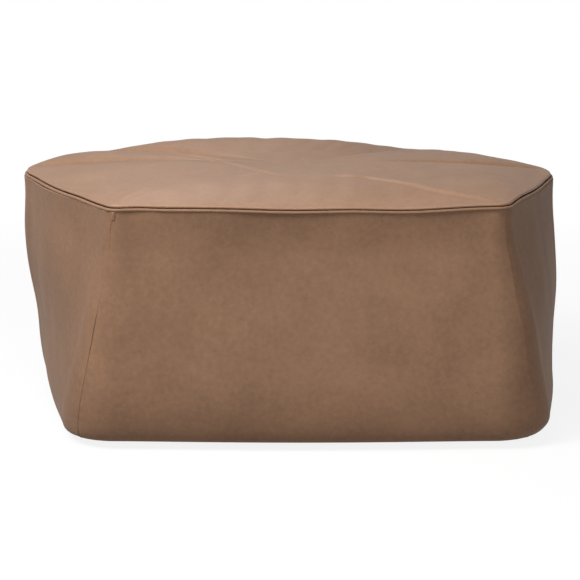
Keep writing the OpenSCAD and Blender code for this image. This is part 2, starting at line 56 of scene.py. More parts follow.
# %% Outlines of the top seam and of the base
MIDDLE = np.array([0.00457, 0.00019])    # the frame is centred on its widest outline
TOP = {
    "corners": np.array([(-0.281, -0.3395), (0.353, -0.3155), (0.5005, 0.08),
                         (0.296, 0.3395), (-0.368, 0.3155), (-0.506, 0.105)]) - MIDDLE,
    "radii": [0.034, 0.034, 0.19, 0.034, 0.034, 0.18],
    "bows": [0.014, 0.014, 0.014, 0.014, 0.014, 0.034],
}
BASE = {
    "corners": np.array([(-0.3775, -0.3325), (0.4375, -0.3325), (0.485, 0.09),
                         (0.3775, 0.3325), (-0.4375, 0.3325), (-0.455, 0.09)]) - MIDDLE,
    "radii": [0.115, 0.115, 0.175] * 2,
    "bows": [0.014] * 6,
}
SIDES = ["front", "front_right", "back_right", "back", "back_left", "front_left"]
SEAM_H = 0.400        # height of the seam round the top
FLOOR_GAP = 0.011     # the glides hold the base this far off the floor
TURN_IN = 0.036       # the walls turn under the body: this far in
TURN_UP = 0.095       # and from this height above the base
TURN_ROUND = 0.667    # below 1 the turn is squarer than an ellipse
WALL_FOOT = FLOOR_GAP + TURN_UP
BELLY = 0.002         # how far the walls swell low down
WAIST = 0.0125        # and how far they draw in below the seam, where no foam fills them
WAIST_H = 0.32        # most of all at this height
UNDERLAP = 0.062      # how far the walls run in under the base
LEATHER_T = 0.002
SKIN_T = 0.9 * LEATHER_T    # drawn a little thinner, so that it stays clear of the cloth under it
CROWN_MID = 0.0202    # height of the middle of the top above its edge
CROWN_EXTRA = [0.040, 0.030, 0.0261, 0.0671, 0.0425, 0.030]  # more height over each edge
CROWN_CORNER = [0.022, 0.016, 0.004, 0, 0, 0.006]           # and over each corner
CROWN_ROUND = [1.0, 0.9, 0.356, 0.356, 0.356, 0.8]          # how slowly it rises from the corners
CROWN_SKEW = [0, 0, -0.50, 0.34, 0.90, 0]                   # which way that leans
CROWN_FALL = [1.2, 0.6, 0, 0, 0, 0.6]                       # and how early it falls towards the edge
TOP_RISE = 0.00345    # the top panel's edge lies this far above the seam
CROWN_LIFT = 0.0043   # the round of the top panel's edge lifts the rest a little more
WELT_IN = 0.0044      # the welt's middle lies this far inside the seam's outline
WELT_R = 0.0027
PANEL_IN = 0.008      # and the top panel's edge this far inside it
INNER_TOP = 0.3857    # the inner layers turn in under the seam from here
print("seam at", SEAM_H, "m, walls", len(SIDES))

# %% [markdown]
# ## Lines round the body
#
# Each wall panel runs from the middle of one rounded corner to the middle of the next. A
# point on it is given by u, which runs from 0 to 1 round the first corner, from 1 to 2
# along the edge and from 2 to 3 round the next corner. A line at any height is a blend of
# the line at the floor and the line at the seam, so the panels lean as they rise.

# %% Points along a panel's outline
def unit(v):
    return v / np.linalg.norm(v)


def away(angle):
    return np.stack([np.cos(angle), np.sin(angle)], -1)


def corner_arc(shape, k):
    """The centre of a rounded corner, the angle its arc starts at, and how far it turns."""
    points, radii = shape["corners"], shape["radii"]
    back, on = unit(points[k - 1] - points[k]), unit(points[(k + 1) % 6] - points[k])
    half = math.acos(back @ on) / 2
    centre = points[k] + unit(back + on) * radii[k] / math.sin(half)
    return centre, math.atan2(back[0], -back[1]), math.pi - 2 * half


def panel_line(shape, k, inset, u):
    j = (k + 1) % 6
    centre_a, start_a, turn_a = corner_arc(shape, k)
    centre_b, start_b, turn_b = corner_arc(shape, j)
    ra, rb = shape["radii"][k] - inset, shape["radii"][j] - inset
    out = away(start_a + turn_a)
    start, end = centre_a + ra * out, centre_b + rb * away(start_b)
    v = np.clip(u - 1, 0, 1)[:, None]
    swell = np.linalg.norm(end - start) * shape["bows"][k] * (4 * v * (1 - v)) ** 1.5
    first = centre_a + ra * away(start_a + turn_a * (1 + u) / 2)
    last = centre_b + rb * away(start_b + turn_b * (u - 2) / 2)
    edge = start * (1 - v) + end * v + out * swell
    return np.where(u[:, None] < 1, first, np.where(u[:, None] < 2, edge, last))


def line_at(k, inset, z, u):
    w = min(1.0, max(0.0, z / SEAM_H)) ** 0.85
    return w * panel_line(TOP, k, inset, u) + (1 - w) * panel_line(BASE, k, inset, u)


FINE_U = np.concatenate([np.linspace(0, 1, 25), np.linspace(1, 2, 141)[1:], np.linspace(2, 3, 25)[1:]])


def length_along(line):
    return np.concatenate([[0], np.cumsum(np.linalg.norm(np.diff(line, axis=0), axis=1))])


def resample(line, places):
    run = length_along(line)
    return np.stack([np.interp(places, run, line[:, i]) for i in range(line.shape[1])], -1)


def at_height(flat, z):
    """Points in plan, lifted to a height."""
    return np.column_stack([flat, np.full(len(flat), z)])


edge_lengths = [length_along(line_at(k, 0, SEAM_H, FINE_U))[-1] for k in range(6)]
print("panel widths at the seam", [round(x, 3) for x in edge_lengths])

# %% [markdown]
# ## Meshes from grids
#
# Most of the soft pieces are grids of points: rows up the wall and columns round it. Numpy
# holds such a grid as one array, which makes it easy to push every point a little at once.
# A pucker or a crease is a number for each point, and the grid moves along its own normals
# by that much. The ripples are a sum of many long waves in seeded directions, so they look
# irregular and come out the same each time.

# %% Grids, normals and ripples
def grid_normals(grid, closed=False):
    """The outward direction at each point of a grid whose rows run up and columns anticlockwise."""
    if closed:
        wide = np.concatenate([grid[:, -2:-1], grid, grid[:, 1:2]], 1)
        across = wide[:, 2:] - wide[:, :-2]
    else:
        across = np.gradient(grid, axis=1)
    normal = np.cross(across, np.gradient(grid, axis=0))
    return normal / np.maximum(np.linalg.norm(normal, axis=-1, keepdims=True), 1e-12)


def ripples(points, size, seed, waves=14, stretch=(1, 1, 1)):
    """Soft irregular waves about size metres long, from -1 to 1 or so."""
    rng = np.random.default_rng(seed)
    found = np.zeros(points.shape[:-1])
    for _ in range(waves):
        way = unit(rng.normal(size=3)) / np.array(stretch)
        turns = points @ (way * 2 * math.pi / (size * rng.uniform(0.7, 1.6)))
        found += np.sin(turns + rng.uniform(0, 2 * math.pi))
    return found * 1.3 / math.sqrt(waves)


def smooth_step(x, low, high):
    t = np.clip((x - low) / (high - low), 0, 1)
    return t * t * (3 - 2 * t)


def hump(x, middle, spread):
    """A smooth hump one high, whose sides fade within about twice the spread."""
    return np.exp(-((x - middle) / spread) ** 2)


def grid_faces(rows, cols, closed=False, at=0):
    """Quads of a grid, facing outward."""
    faces = []
    for r in range(rows - 1):
        for c in range(cols if closed else cols - 1):
            d = (c + 1) % cols
            faces.append((at + r * cols + c, at + r * cols + d, at + (r + 1) * cols + d, at + (r + 1) * cols + c))
    return faces


def fan_faces(row_at, cols, pole):
    return [(row_at + c, row_at + (c + 1) % cols, pole) for c in range(cols)]


def make_piece(name, points, faces, material, slot, replaces=None, thickness=None, fill=None):
    """A smooth mesh object on the pouf's body: it may stand for a CAD node or be thick. Its fill, for padding, is
    not used.
    """
    mesh = bpy.data.meshes.new(name)
    mesh.from_pydata([tuple(p) for p in np.asarray(points, float).reshape(-1, 3)], [], faces)
    mesh.validate()
    mesh.polygons.foreach_set("use_smooth", [True] * len(mesh.polygons))
    mesh.materials.append(material)
    piece = bpy.data.objects.new(name, mesh)
    bpy.context.scene.collection.objects.link(piece)
    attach(piece, "pouf")
    if replaces:
        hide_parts(replaces)
    if thickness:
        # the points are the outer face of the skin
        solid = piece.modifiers.new("thickness", "SOLIDIFY")
        solid.thickness = thickness
        solid.offset = -1
    print(f"{name}: {len(mesh.vertices)} points, {len(mesh.polygons)} faces")
    return piece


def hoop(name, rows, **rest):
    """A closed hoop: each row is one line round it, and the rows run round its section."""
    rows = np.asarray(rows)
    count, cols = rows.shape[:2]
    faces = grid_faces(count, cols, closed=True)
    last = (count - 1) * cols
    faces += [(last + c, last + (c + 1) % cols, (c + 1) % cols, c) for c in range(cols)]
    return make_piece(name, rows, faces, **rest)


def bowl(name, rings, low=None, high=None, **rest):
    """Rings stacked upward, each closed to a point below or above if that is given."""
    rings = np.asarray(rings)
    count, cols = rings.shape[:2]
    points, faces = list(rings.reshape(-1, 3)), grid_faces(count, cols, closed=True)
    if low is not None:
        faces += [(len(points), (c + 1) % cols, c) for c in range(cols)]
        points.append(np.array(low))
    if high is not None:
        faces += fan_faces((count - 1) * cols, cols, len(points))
        points.append(np.array(high))
    return make_piece(name, points, faces, **rest)


# %% [markdown]
# ## Camera, light and floor
#
# The camera stands low in front of the pouf with a long lens, so its sides hardly converge.
# A large soft lamp high in front and to the left does most of the work, and one overhead
# makes the top brighter than the walls. A low lamp fills the front, and a small one behind
# leaves a broad gleam where the top leans forward. The floor looks white to the camera,
# but lights the walls from below only weakly: Light Path's Is Camera Ray chooses between a
# pale and a dull floor. The world does the same, and what the leather reflects lies between.

# %% Camera
camera_data = bpy.data.cameras.new("camera")
camera_data.lens = 100.95
camera_data.sensor_width = 36
LOOK_DOWN = 11.91     # degrees below level
camera = bpy.data.objects.new("camera", camera_data)
camera.location = (-0.0005, -2.850, 0.800)
camera.rotation_euler = (math.radians(90 - LOOK_DOWN), 0, 0)
bpy.context.scene.collection.objects.link(camera)
bpy.context.scene.camera = camera
bpy.context.scene.view_settings.view_transform = "Standard"
print("lens", camera_data.lens, "mm")

# %% Lamps
def soft_lamp(name, place, target, size, power):
    """A round lamp of a size in metres and a power in watts, turned towards its target."""
    data = bpy.data.lights.new(name, "AREA")
    data.shape = "DISK"
    data.size = size
    data.energy = power
    lamp = bpy.data.objects.new(name, data)
    lamp.location = place
    way = np.array(target, float) - np.array(place, float)
    lamp.rotation_euler = (math.acos(-way[2] / np.linalg.norm(way)), 0, math.atan2(way[0], -way[1]) + math.pi)
    bpy.context.scene.collection.objects.link(lamp)


soft_lamp("key", (-1.3, -1.28, 2.05), (0, 0, 0.3), 1.0, 56)
soft_lamp("fill", (0.6, -2.7, 1.0), (0, 0, 0.15), 1.4, 19)
soft_lamp("over", (-0.35, -0.85, 2.2), (0, 0, 0.3), 1.1, 14)
soft_lamp("behind", (-0.4, 1.5, 2.3), (0, 0, 0.4), 0.9, 7)


# %% Helpers for materials: nodes and links by name
def add_nodes(tree, **kinds):
    """Adds one node for each name, from its kind or (kind, {property or socket: value}).

    A kind is a shader node's type, with its operation after a space if it has one.
    """
    for name, kind in kinds.items():
        kind, values = kind if isinstance(kind, tuple) else (kind, {})
        kind, _, operation = kind.partition(" ")
        node = tree.nodes.new("ShaderNode" + kind)
        node.name = name
        if operation:
            node.operation = operation
        for key, value in values.items():
            if key in node.inputs.keys() or isinstance(key, int):
                node.inputs[key].default_value = value
            else:
                setattr(node, key, value)


def wire(tree, links):
    """Joins nodes by name: a link reads node.socket > node.socket, and commas part the links."""
    def find(sockets, label):
        return sockets[int(label) if label.isdigit() else label]

    for link in links.split(","):
        (start, out), (end, into) = (part.strip().split(".") for part in link.split(">"))
        tree.links.new(find(tree.nodes[start].outputs, out), find(tree.nodes[end].inputs, into))


# %% World and floor
world = bpy.data.worlds.new("studio")
bpy.context.scene.world = world
world.use_nodes = True
world.node_tree.nodes.clear()
add_nodes(
    world.node_tree,
    soft=("Background", {"Color": (1, 1, 1, 1), "Strength": 0.16}),
    white=("Background", {"Color": (1, 1, 1, 1), "Strength": 1.0}),
    path="LightPath",
    seen=("Math MULTIPLY_ADD", {1: 0.42}),
    mix="MixShader",
    out="OutputWorld",
)
wire(world.node_tree, """
    path.Is Glossy Ray > seen.0, path.Is Camera Ray > seen.2, seen.0 > mix.0, soft.0 > mix.1, white.0 > mix.2,
    mix.0 > out.0
""")

floor_mesh = bpy.data.meshes.new("floor")
builder = bmesh.new()
bmesh.ops.create_grid(builder, x_segments=8, y_segments=8, size=12)
builder.to_mesh(floor_mesh)
builder.free()
floor = bpy.data.objects.new("floor", floor_mesh)
bpy.context.scene.collection.objects.link(floor)
floor_paint = bpy.data.materials.new("studio_floor")
floor_paint.use_nodes = True
floor_paint.node_tree.nodes.clear()
add_nodes(
    floor_paint.node_tree,
    dull=("BsdfDiffuse", {"Color": (0.2, 0.19, 0.18, 1)}),
    pale=("BsdfDiffuse", {"Color": (0.95, 0.95, 0.95, 1)}),
    glow=("Emission", {"Color": (1, 1, 1, 1), "Strength": 1.0}),
    spot="NewGeometry",
    reach="VectorMath LENGTH",
    fade=("MapRange", {"From Min": 0.7, "From Max": 2.2, "To Min": 0.86, "To Max": 1.0}),
    lit="MixShader",
    path="LightPath",
    seen="Math MAXIMUM",
    mix="MixShader",
    out="OutputMaterial",
)
wire(floor_paint.node_tree, """
    spot.Position > reach.0, reach.Value > fade.0, fade.0 > lit.0, pale.0 > lit.1, glow.0 > lit.2,
    path.Is Camera Ray > seen.0, path.Is Glossy Ray > seen.1, seen.0 > mix.0, dull.0 > mix.1, lit.0 > mix.2,
    mix.0 > out.0
""")
floor_mesh.materials.append(floor_paint)
print("floor", floor.dimensions[:])

# %% [markdown]
# ## Leather
#
# This hide is buffed, so it has a fine nap instead of a shine. Its colour drifts in soft
# clouds a hand wide, with a sprinkling of pores and small healed marks. The clouds, the
# grain and the edges are node groups with their own values in each leather. The edge group
# pales the ridges, as wear, and darkens the hollows, which is painted shade. The top, the
# walls, the welt and the base were cut from the same hide. The top's colours are lighter and
# a little bluer than the walls', which is painted light and a painted sheen, and the base is
# darker. The top is the part that people sit on, so its nap lies flatter and it has a soft
# gleam, which is a lower roughness there.

# %% Node groups for leather
def make_group(name, inputs, outputs):
    """A shader node group with typed sockets, whose ends are the nodes in and out."""
    group = bpy.data.node_groups.new(name, "ShaderNodeTree")
    kinds = {"colour": "NodeSocketColor", "value": "NodeSocketFloat", "vector": "NodeSocketVector"}
    for way, sockets in (("INPUT", inputs), ("OUTPUT", outputs)):
        for label, kind in sockets:
            group.interface.new_socket(name=label, in_out=way, socket_type=kinds[kind])
    group.nodes.new("NodeGroupInput").name = "in"
    group.nodes.new("NodeGroupOutput").name = "out"
    return group



hide_colour = make_group(
    "hide_colour",
    [("Position", "vector"), ("Deep", "colour"), ("Pale", "colour"),
     ("Cloud Size", "value"), ("Cloud Strength", "value"), ("Marks", "value")],
    [("Colour", "colour")],
)
add_nodes(
    hide_colour,
    clouds=("TexNoise", {"Detail": 5.0, "Roughness": 0.6, "Distortion": 0.6}),
    finer=("Math MULTIPLY", {1: 16.0}),
    mottle=("TexNoise", {"Detail": 6.0, "Roughness": 0.75}),
    both=("Math MULTIPLY_ADD", {1: 1.1}),
    centred=("Math SUBTRACT", {1: 1.05}),
    strength=("Math MULTIPLY_ADD", {2: 0.5, "use_clamp": True}),
    blend=("Mix", {"data_type": "RGBA"}),
    spots=("TexVoronoi", {"feature": "F1", "Scale": 55.0, "Randomness": 1.0}),
    spot_edge=("MapRange", {"From Min": 0.04, "From Max": 0.16, "To Min": 1.0, "To Max": 0.0}),
    few=("TexNoise", {"Scale": 14.0, "Detail": 1.0}),
    few_edge=("MapRange", {"From Min": 0.55, "From Max": 0.7}),
    where="Math MULTIPLY",
    marks="Math MULTIPLY",
    darker=("Mix", {"data_type": "RGBA", "blend_type": "MULTIPLY", 7: (0.72, 0.66, 0.62, 1)}),
)
wire(hide_colour, """
    in.Position > clouds.Vector, in.Cloud Size > clouds.Scale, in.Cloud Size > finer.0, finer.0 > mottle.Scale,
    in.Position > mottle.Vector, mottle.0 > both.0, clouds.0 > both.2, both.0 > centred.0, centred.0 > strength.0,
    in.Cloud Strength > strength.1, strength.0 > blend.0, in.Deep > blend.6, in.Pale > blend.7,
    in.Position > spots.Vector, spots.Distance > spot_edge.0, in.Position > few.Vector, few.0 > few_edge.0,
    spot_edge.0 > where.0, few_edge.0 > where.1, where.0 > marks.0, in.Marks > marks.1, marks.0 > darker.0,
    blend.2 > darker.6, darker.2 > out.Colour
""")

hide_grain = make_group(
    "hide_grain",
    [("Position", "vector"), ("Pebble Size", "value"), ("Pore Size", "value")],
    [("Height", "value"), ("Roughness", "value")],
)
add_nodes(
    hide_grain,
    warp=("TexNoise", {"Scale": 60.0, "Detail": 2.0}),
    bent=("VectorMath MULTIPLY_ADD", {1: (0.004, 0.004, 0.004)}),
    pebble=("TexVoronoi", {"feature": "SMOOTH_F1", "Smoothness": 0.6}),
    nap=("TexNoise", {"Detail": 4.0, "Roughness": 0.7}),
    total=("Math MULTIPLY_ADD", {1: 0.6}),
    rough=("MapRange", {"From Min": 0.3, "From Max": 0.7, "To Min": 0.58, "To Max": 0.72}),
)
wire(hide_grain, """
    in.Position > warp.Vector, warp.1 > bent.0, in.Position > bent.2, bent.0 > pebble.Vector,
    in.Pebble Size > pebble.Scale, in.Pore Size > nap.Scale, in.Position > nap.Vector, nap.0 > total.0,
    pebble.Distance > total.2, total.0 > out.Height, nap.0 > rough.0, rough.0 > out.Roughness
""")

# Ridges that Pointiness finds take the rubbed colour, as wear; hollows take the third colour, which is a painted
# shade in creases and grooves.
ridge_wear_hollow_shade = make_group(
    "ridge_wear_hollow_shade",
    [("Colour", "colour"), ("Rubbed", "colour"), ("Grime", "colour"), ("Amount", "value")],
    [("Colour", "colour")],
)
add_nodes(
    ridge_wear_hollow_shade,
    shape="NewGeometry",
    ridge=("MapRange", {"From Min": 0.515, "From Max": 0.60}),
    valley=("MapRange", {"From Min": 0.485, "From Max": 0.40}),
    ridge_amount=("Math MULTIPLY", {"use_clamp": True}),
    valley_amount=("Math MULTIPLY", {"use_clamp": True}),
    pale=("Mix", {"data_type": "RGBA"}),
    dark=("Mix", {"data_type": "RGBA"}),
)
wire(ridge_wear_hollow_shade, """
    shape.Pointiness > ridge.0, shape.Pointiness > valley.0, ridge.0 > ridge_amount.0, in.Amount > ridge_amount.1,
    valley.0 > valley_amount.0, in.Amount > valley_amount.1, ridge_amount.0 > pale.0, in.Colour > pale.6,
    in.Rubbed > pale.7, valley_amount.0 > dark.0, pale.2 > dark.6, in.Grime > dark.7, dark.2 > out.Colour
""")
print("groups", [g.name for g in bpy.data.node_groups])


# %% A leather from the three groups
def place_group(tree, name, group, **values):
    """Places a group in a material under a name, with its own values."""
    node = tree.nodes.new("ShaderNodeGroup")
    node.name, node.node_tree = name, group
    for label, value in values.items():
        node.inputs[label.replace("_", " ")].default_value = value


def start_material(name, **shader_values):
    """A material whose nodes are place, for the object's own coordinates, shader and out."""
    material = bpy.data.materials.new(name)
    material.use_nodes = True
    tree = material.node_tree
    tree.nodes.clear()
    add_nodes(tree, place="TexCoord", shader=("BsdfPrincipled", shader_values), out="OutputMaterial")
    wire(tree, "shader.0 > out.0")
    return material


def leather(name, deep, pale, rubbed, grime, cloud=7.0, clouds=0.9, marks=0.5, wear=0.7, sheen=0.25,
            gloss=0.25, polish=0.0):
    """A hide between a deep and a pale colour, made smoother than its grain by polish."""
    material = start_material(
        name, **{"Specular IOR Level": gloss, "Sheen Weight": sheen, "Sheen Roughness": 0.55,
                 "Sheen Tint": (1.0, 0.86, 0.74, 1)})
    tree = material.node_tree
    place_group(tree, "colour", hide_colour, Deep=deep, Pale=pale, Cloud_Size=cloud,
                Cloud_Strength=clouds, Marks=marks)
    place_group(tree, "grain", hide_grain, Pebble_Size=700.0, Pore_Size=1900.0)
    # the edge group pales the ridges as wear and darkens the hollows with a painted shade
    place_group(tree, "edge", ridge_wear_hollow_shade, Rubbed=rubbed, Grime=grime, Amount=wear)
    add_nodes(tree, rough=("Math SUBTRACT", {1: polish}), bump=("Bump", {"Strength": 0.35, "Distance": 0.0004}))
    wire(tree, """
        place.Object > colour.Position, place.Object > grain.Position, colour.Colour > edge.Colour,
        edge.Colour > shader.Base Color, grain.Roughness > rough.0, rough.0 > shader.Roughness,
        grain.Height > bump.Height, bump.Normal > shader.Normal
    """)
    return material


TAN = np.array([0.287, 0.158, 0.092])       # the hide's middle colour


def shade(factor, warm=0.0):
    r, g, b = TAN * factor
    return (float(r * (1 + warm)), float(g), float(b * (1 - warm)), 1)


# The top's deep and pale colours are lighter and a little bluer than the walls': painted light and a painted sheen
# on one hide. Its rubbed colour is pale enough to be a painted highlight along the lip as well as wear. The fourth
# colour of each leather is the painted shade in its hollows.
top_leather = leather("leather_top", shade(0.84, -0.02), shade(1.09, -0.02), shade(1.9), shade(0.7), clouds=1.6,
                      marks=0.3, sheen=0.0, gloss=0.45, polish=0.17)
wall_leather = leather("leather_wall", shade(0.73), shade(0.99), shade(1.4), shade(0.6), clouds=2.0, marks=0.8,
                       sheen=0.04)
welt_leather = leather("leather_welt", shade(0.74), shade(0.94), shade(1.3), shade(0.65), cloud=20.0, wear=1.0,
                       sheen=0.1)
base_leather = leather("leather_base", shade(0.55), shade(0.75), shade(0.9), shade(0.35), cloud=10.0)
print("leathers", [m.name for m in bpy.data.materials if m.name.startswith("leather")])

# %% [markdown]
# ## Cloth, foam, wood and metal
#
# The other finishes share three more groups: a weave for the calico, the tapes and the zip,
# open cells for the foams, and streaks, which are the plywood's grain and the metals' scratches.
# Painted shade in hollows and rubbed edges come from the same group as on the leather.

# %% Weave and cells
weave = make_group(
    "weave",
    [("Position", "vector"), ("Warp", "vector"), ("Weft", "vector"), ("Threads", "value")],
    [("Height", "value"), ("Over", "value")],
)
add_nodes(
    weave,
    warp="VectorMath DOT_PRODUCT",
    weft="VectorMath DOT_PRODUCT",
    fast=("Math MULTIPLY", {1: math.pi}),
    warp_at="Math MULTIPLY",
    weft_at="Math MULTIPLY",
    warp_wave="Math SINE",
    weft_wave="Math SINE",
    cross="Math MULTIPLY",
    over=("Math MULTIPLY_ADD", {1: 0.5, 2: 0.5}),
    fuzz=("TexNoise", {"Scale": 1500.0, "Detail": 2.0}),
    height=("Math MULTIPLY_ADD", {1: 0.4}),
)
wire(weave, """
    in.Position > warp.0, in.Warp > warp.1, in.Position > weft.0, in.Weft > weft.1, in.Threads > fast.0,
    warp.Value > warp_at.0, fast.0 > warp_at.1, weft.Value > weft_at.0, fast.0 > weft_at.1,
    warp_at.0 > warp_wave.0, weft_at.0 > weft_wave.0, warp_wave.0 > cross.0, weft_wave.0 > cross.1, cross.0 > over.0,
    in.Position > fuzz.Vector, fuzz.0 > height.0, over.0 > height.2, height.0 > out.Height, over.0 > out.Over
""")

cells = make_group(
    "cells",
    [("Position", "vector"), ("Cell Size", "value")],
    [("Height", "value"), ("Pit", "value")],
)
add_nodes(
    cells,
    cell=("TexVoronoi", {"feature": "F1"}),
    pit=("MapRange", {"From Min": 0.1, "From Max": 0.7}),
    drift=("TexNoise", {"Scale": 40.0, "Detail": 2.0}),
    total=("Math MULTIPLY_ADD", {1: 0.25}),
)
wire(cells, """
    in.Position > cell.Vector, in.Cell Size > cell.Scale, cell.Distance > pit.0, in.Position > drift.Vector,
    drift.0 > total.0, pit.0 > total.2, pit.0 > out.Pit, total.0 > out.Height
""")
print("groups", [g.name for g in bpy.data.node_groups])

# %% Long grain and scratches
streaks = make_group(
    "streaks",
    [("Position", "vector"), ("Stretch", "vector"), ("Scale", "value")],
    [("Streak", "value"), ("Height", "value")],
)
add_nodes(
    streaks,
    stretched="VectorMath MULTIPLY",
    long=("TexNoise", {"Detail": 6.0, "Roughness": 0.65, "Distortion": 0.4}),
    streak=("MapRange", {"From Min": 0.32, "From Max": 0.68}),
    fine=("TexNoise", {"Scale": 900.0, "Detail": 2.0}),
    total=("Math MULTIPLY_ADD", {1: 0.3}),
)
wire(streaks, """
    in.Position > stretched.0, in.Stretch > stretched.1, stretched.0 > long.Vector, in.Scale > long.Scale,
    long.0 > streak.0, in.Position > fine.Vector, fine.0 > total.0, streak.0 > total.2, streak.0 > out.Streak,
    total.0 > out.Height
""")


def two_tone(material, dark, light, mask, wear=0.6, bump=(0.4, 0.0004), rough=(0.5, 0.7)):
    """Colour and roughness by a mask of the node texture, with painted shade in hollows and bare edges on ridges."""
    tree = material.node_tree
    add_nodes(tree, tone=("Mix", {"data_type": "RGBA", 6: (*dark, 1), 7: (*light, 1)}),
              rough=("MapRange", {"To Min": rough[0], "To Max": rough[1]}),
              bump=("Bump", {"Strength": bump[0], "Distance": bump[1]}))
    # ridges turn paler as wear; hollows darken to half the dark colour, a painted shade
    place_group(tree, "edge", ridge_wear_hollow_shade, Rubbed=(*[min(1, c * 1.25) for c in light], 1),
                Grime=(*[c * 0.5 for c in dark], 1), Amount=wear)
    wire(tree, f"""
        place.Object > texture.Position, texture.{mask} > tone.0, texture.{mask} > rough.0,
        rough.0 > shader.Roughness, tone.2 > edge.Colour, edge.Colour > shader.Base Color,
        texture.Height > bump.Height, bump.Normal > shader.Normal
    """)
    return material


def woven(name, dark, light, threads, warp=(1, 0, 0), weft=(0, 1, 0), **rest):
    material = start_material(name, **{"Sheen Weight": 0.15, "Specular IOR Level": 0.25})
    place_group(material.node_tree, "texture", weave, Threads=threads, Warp=warp, Weft=weft)
    return two_tone(material, dark, light, "Over", rough=(0.75, 0.9), **rest)


def foamed(name, dark, light, size, **rest):
    material = start_material(name, **{"Specular IOR Level": 0.2})
    place_group(material.node_tree, "texture", cells, Cell_Size=size)
    return two_tone(material, dark, light, "Pit", rough=(0.85, 0.95), **rest)


def streaked(name, dark, light, stretch, scale, values, **rest):
    material = start_material(name, **values)
    place_group(material.node_tree, "texture", streaks, Stretch=stretch, Scale=scale)
    return two_tone(material, dark, light, "Streak", **rest)


# %% Finishes of the other parts
BIAS = {"warp": (0.7, 0.7, 0), "weft": (0.3, -0.3, 0.9)}    # threads that cross on any wall
calico_cloth = woven("calico_cloth", (0.62, 0.56, 0.44), (0.80, 0.75, 0.62), 1200.0, **BIAS)
cotton_tape = woven("cotton_tape", (0.55, 0.50, 0.40), (0.75, 0.70, 0.58), 1000.0, **BIAS)
cord_cotton = woven("cord_cotton", (0.66, 0.62, 0.53), (0.85, 0.82, 0.74), 1800.0, (1, 1, 0), (0, 1, 1))
zip_tape = woven("zip_tape_weave", (0.030, 0.023, 0.018), (0.075, 0.058, 0.046), 1500.0)
waxed_thread = woven("waxed_thread", (0.10, 0.055, 0.034), (0.19, 0.115, 0.075), 2600.0, (1, 1, 0), (1, -1, 0))
wadding_fibre = foamed("wadding_fibre", (0.70, 0.69, 0.66), (0.90, 0.90, 0.87), 160.0, bump=(0.8, 0.002))
firm_foam = foamed("foam_firm", (0.42, 0.34, 0.19), (0.66, 0.57, 0.37), 700.0)
medium_foam = foamed("foam_medium", (0.62, 0.52, 0.28), (0.82, 0.74, 0.50), 850.0)
soft_foam = foamed("foam_soft", (0.72, 0.64, 0.44), (0.90, 0.85, 0.66), 1000.0)
board_plywood = streaked("board_plywood", (0.42, 0.27, 0.13), (0.68, 0.50, 0.29), (1.5, 14, 60), 9.0,
                         {"Specular IOR Level": 0.3}, rough=(0.55, 0.7))
glide_nylon = foamed("glide_nylon", (0.012, 0.012, 0.012), (0.040, 0.039, 0.038), 2500.0, wear=1.0,
                     bump=(0.15, 0.0002))
METAL = {"Metallic": 1.0, "Specular IOR Level": 0.5}
zinc_plate = streaked("zinc_plate", (0.42, 0.43, 0.45), (0.62, 0.63, 0.65), (1, 1, 8), 260.0, METAL,
                      rough=(0.25, 0.42), bump=(0.1, 0.0001))
eyelet_brass = streaked("eyelet_brass", (0.45, 0.30, 0.11), (0.70, 0.50, 0.22), (1, 1, 8), 240.0, METAL,
                        rough=(0.22, 0.4), bump=(0.1, 0.0001))
zip_metal = streaked("zip_metal", (0.20, 0.13, 0.06), (0.42, 0.31, 0.16), (2, 10, 4), 220.0, METAL, wear=1.0,
                     rough=(0.28, 0.5), bump=(0.15, 0.0001))
zip_teeth = streaked("zip_teeth", (0.035, 0.027, 0.020), (0.085, 0.065, 0.050), (6, 1, 1), 300.0,
                     {"Specular IOR Level": 0.5}, wear=0.8, rough=(0.35, 0.5), bump=(0.15, 0.0001))
print("materials", len(bpy.data.materials))

# %% [markdown]
# ## Wall panels
#
# A wall panel runs from the base seam, out round the turned edge and up to the welt. It
# swells a little low down and draws in under the welt. At both ends its edge rolls inward to
# the upright seam. Each panel laps a little over the next one, so one side of a seam
# stands proud and catches the light. Small puckers cross the seam where the thread pulls.

# %% Rows and columns of a wall panel
SIDE_TOP = SEAM_H - WELT_R - 0.0003
EDGE_STEPS = np.array([0, 0.0003, 0.0007, 0.0012, 0.0018, 0.0026, 0.0038, 0.0055, 0.0075, 0.010, 0.013])


def wall_rows(d, top=SIDE_TOP, step=0.0045, turn_steps=20, fine=0):
    """(inset, height) up the wall, for a skin that lies d inside the leather's face."""
    rows = []
    for a in np.linspace(0, math.pi / 2, turn_steps)[:-1]:
        rows.append((TURN_IN - (TURN_IN - d) * math.sin(a) ** TURN_ROUND,
                     WALL_FOOT - (TURN_UP - d) * math.cos(a) ** TURN_ROUND))
    near_top = top - 0.014
    heights = np.linspace(WALL_FOOT, near_top, int((near_top - WALL_FOOT) / step))
    last = np.linspace(near_top, top, fine)[1:] if fine else [top]
    return rows + [(d, z) for z in np.concatenate([heights, last])]


def seam_wave(points):
    """How far the top seam rises or sinks at a place in plan: it sags right of the middle of the front."""
    x, y = points[..., 0], points[..., 1]
    front = smooth_step(-y, 0.22, 0.30)
    sag = -0.0034 - 0.0050 * hump(x, 0.185, 0.085) - 0.0036 * hump(x, 0.01, 0.09)
    peak = 0.0012 * hump(x, -0.24, 0.03)
    right = -0.0025 * hump(x, 0.42, 0.05) * hump(y, -0.12, 0.12)
    back = 0.0035 * smooth_step(y, 0.12, 0.22)
    return front * (sag + peak) + right + back


LEFT_SWELL, LEFT_LEAN = 0.0135, 0.007      # the left tip swells out below the seam and leans in at mid height
RIGHT_SWELL, RIGHT_FOOT = 0.0105, 0.006    # the right tip swells lower down and at its foot


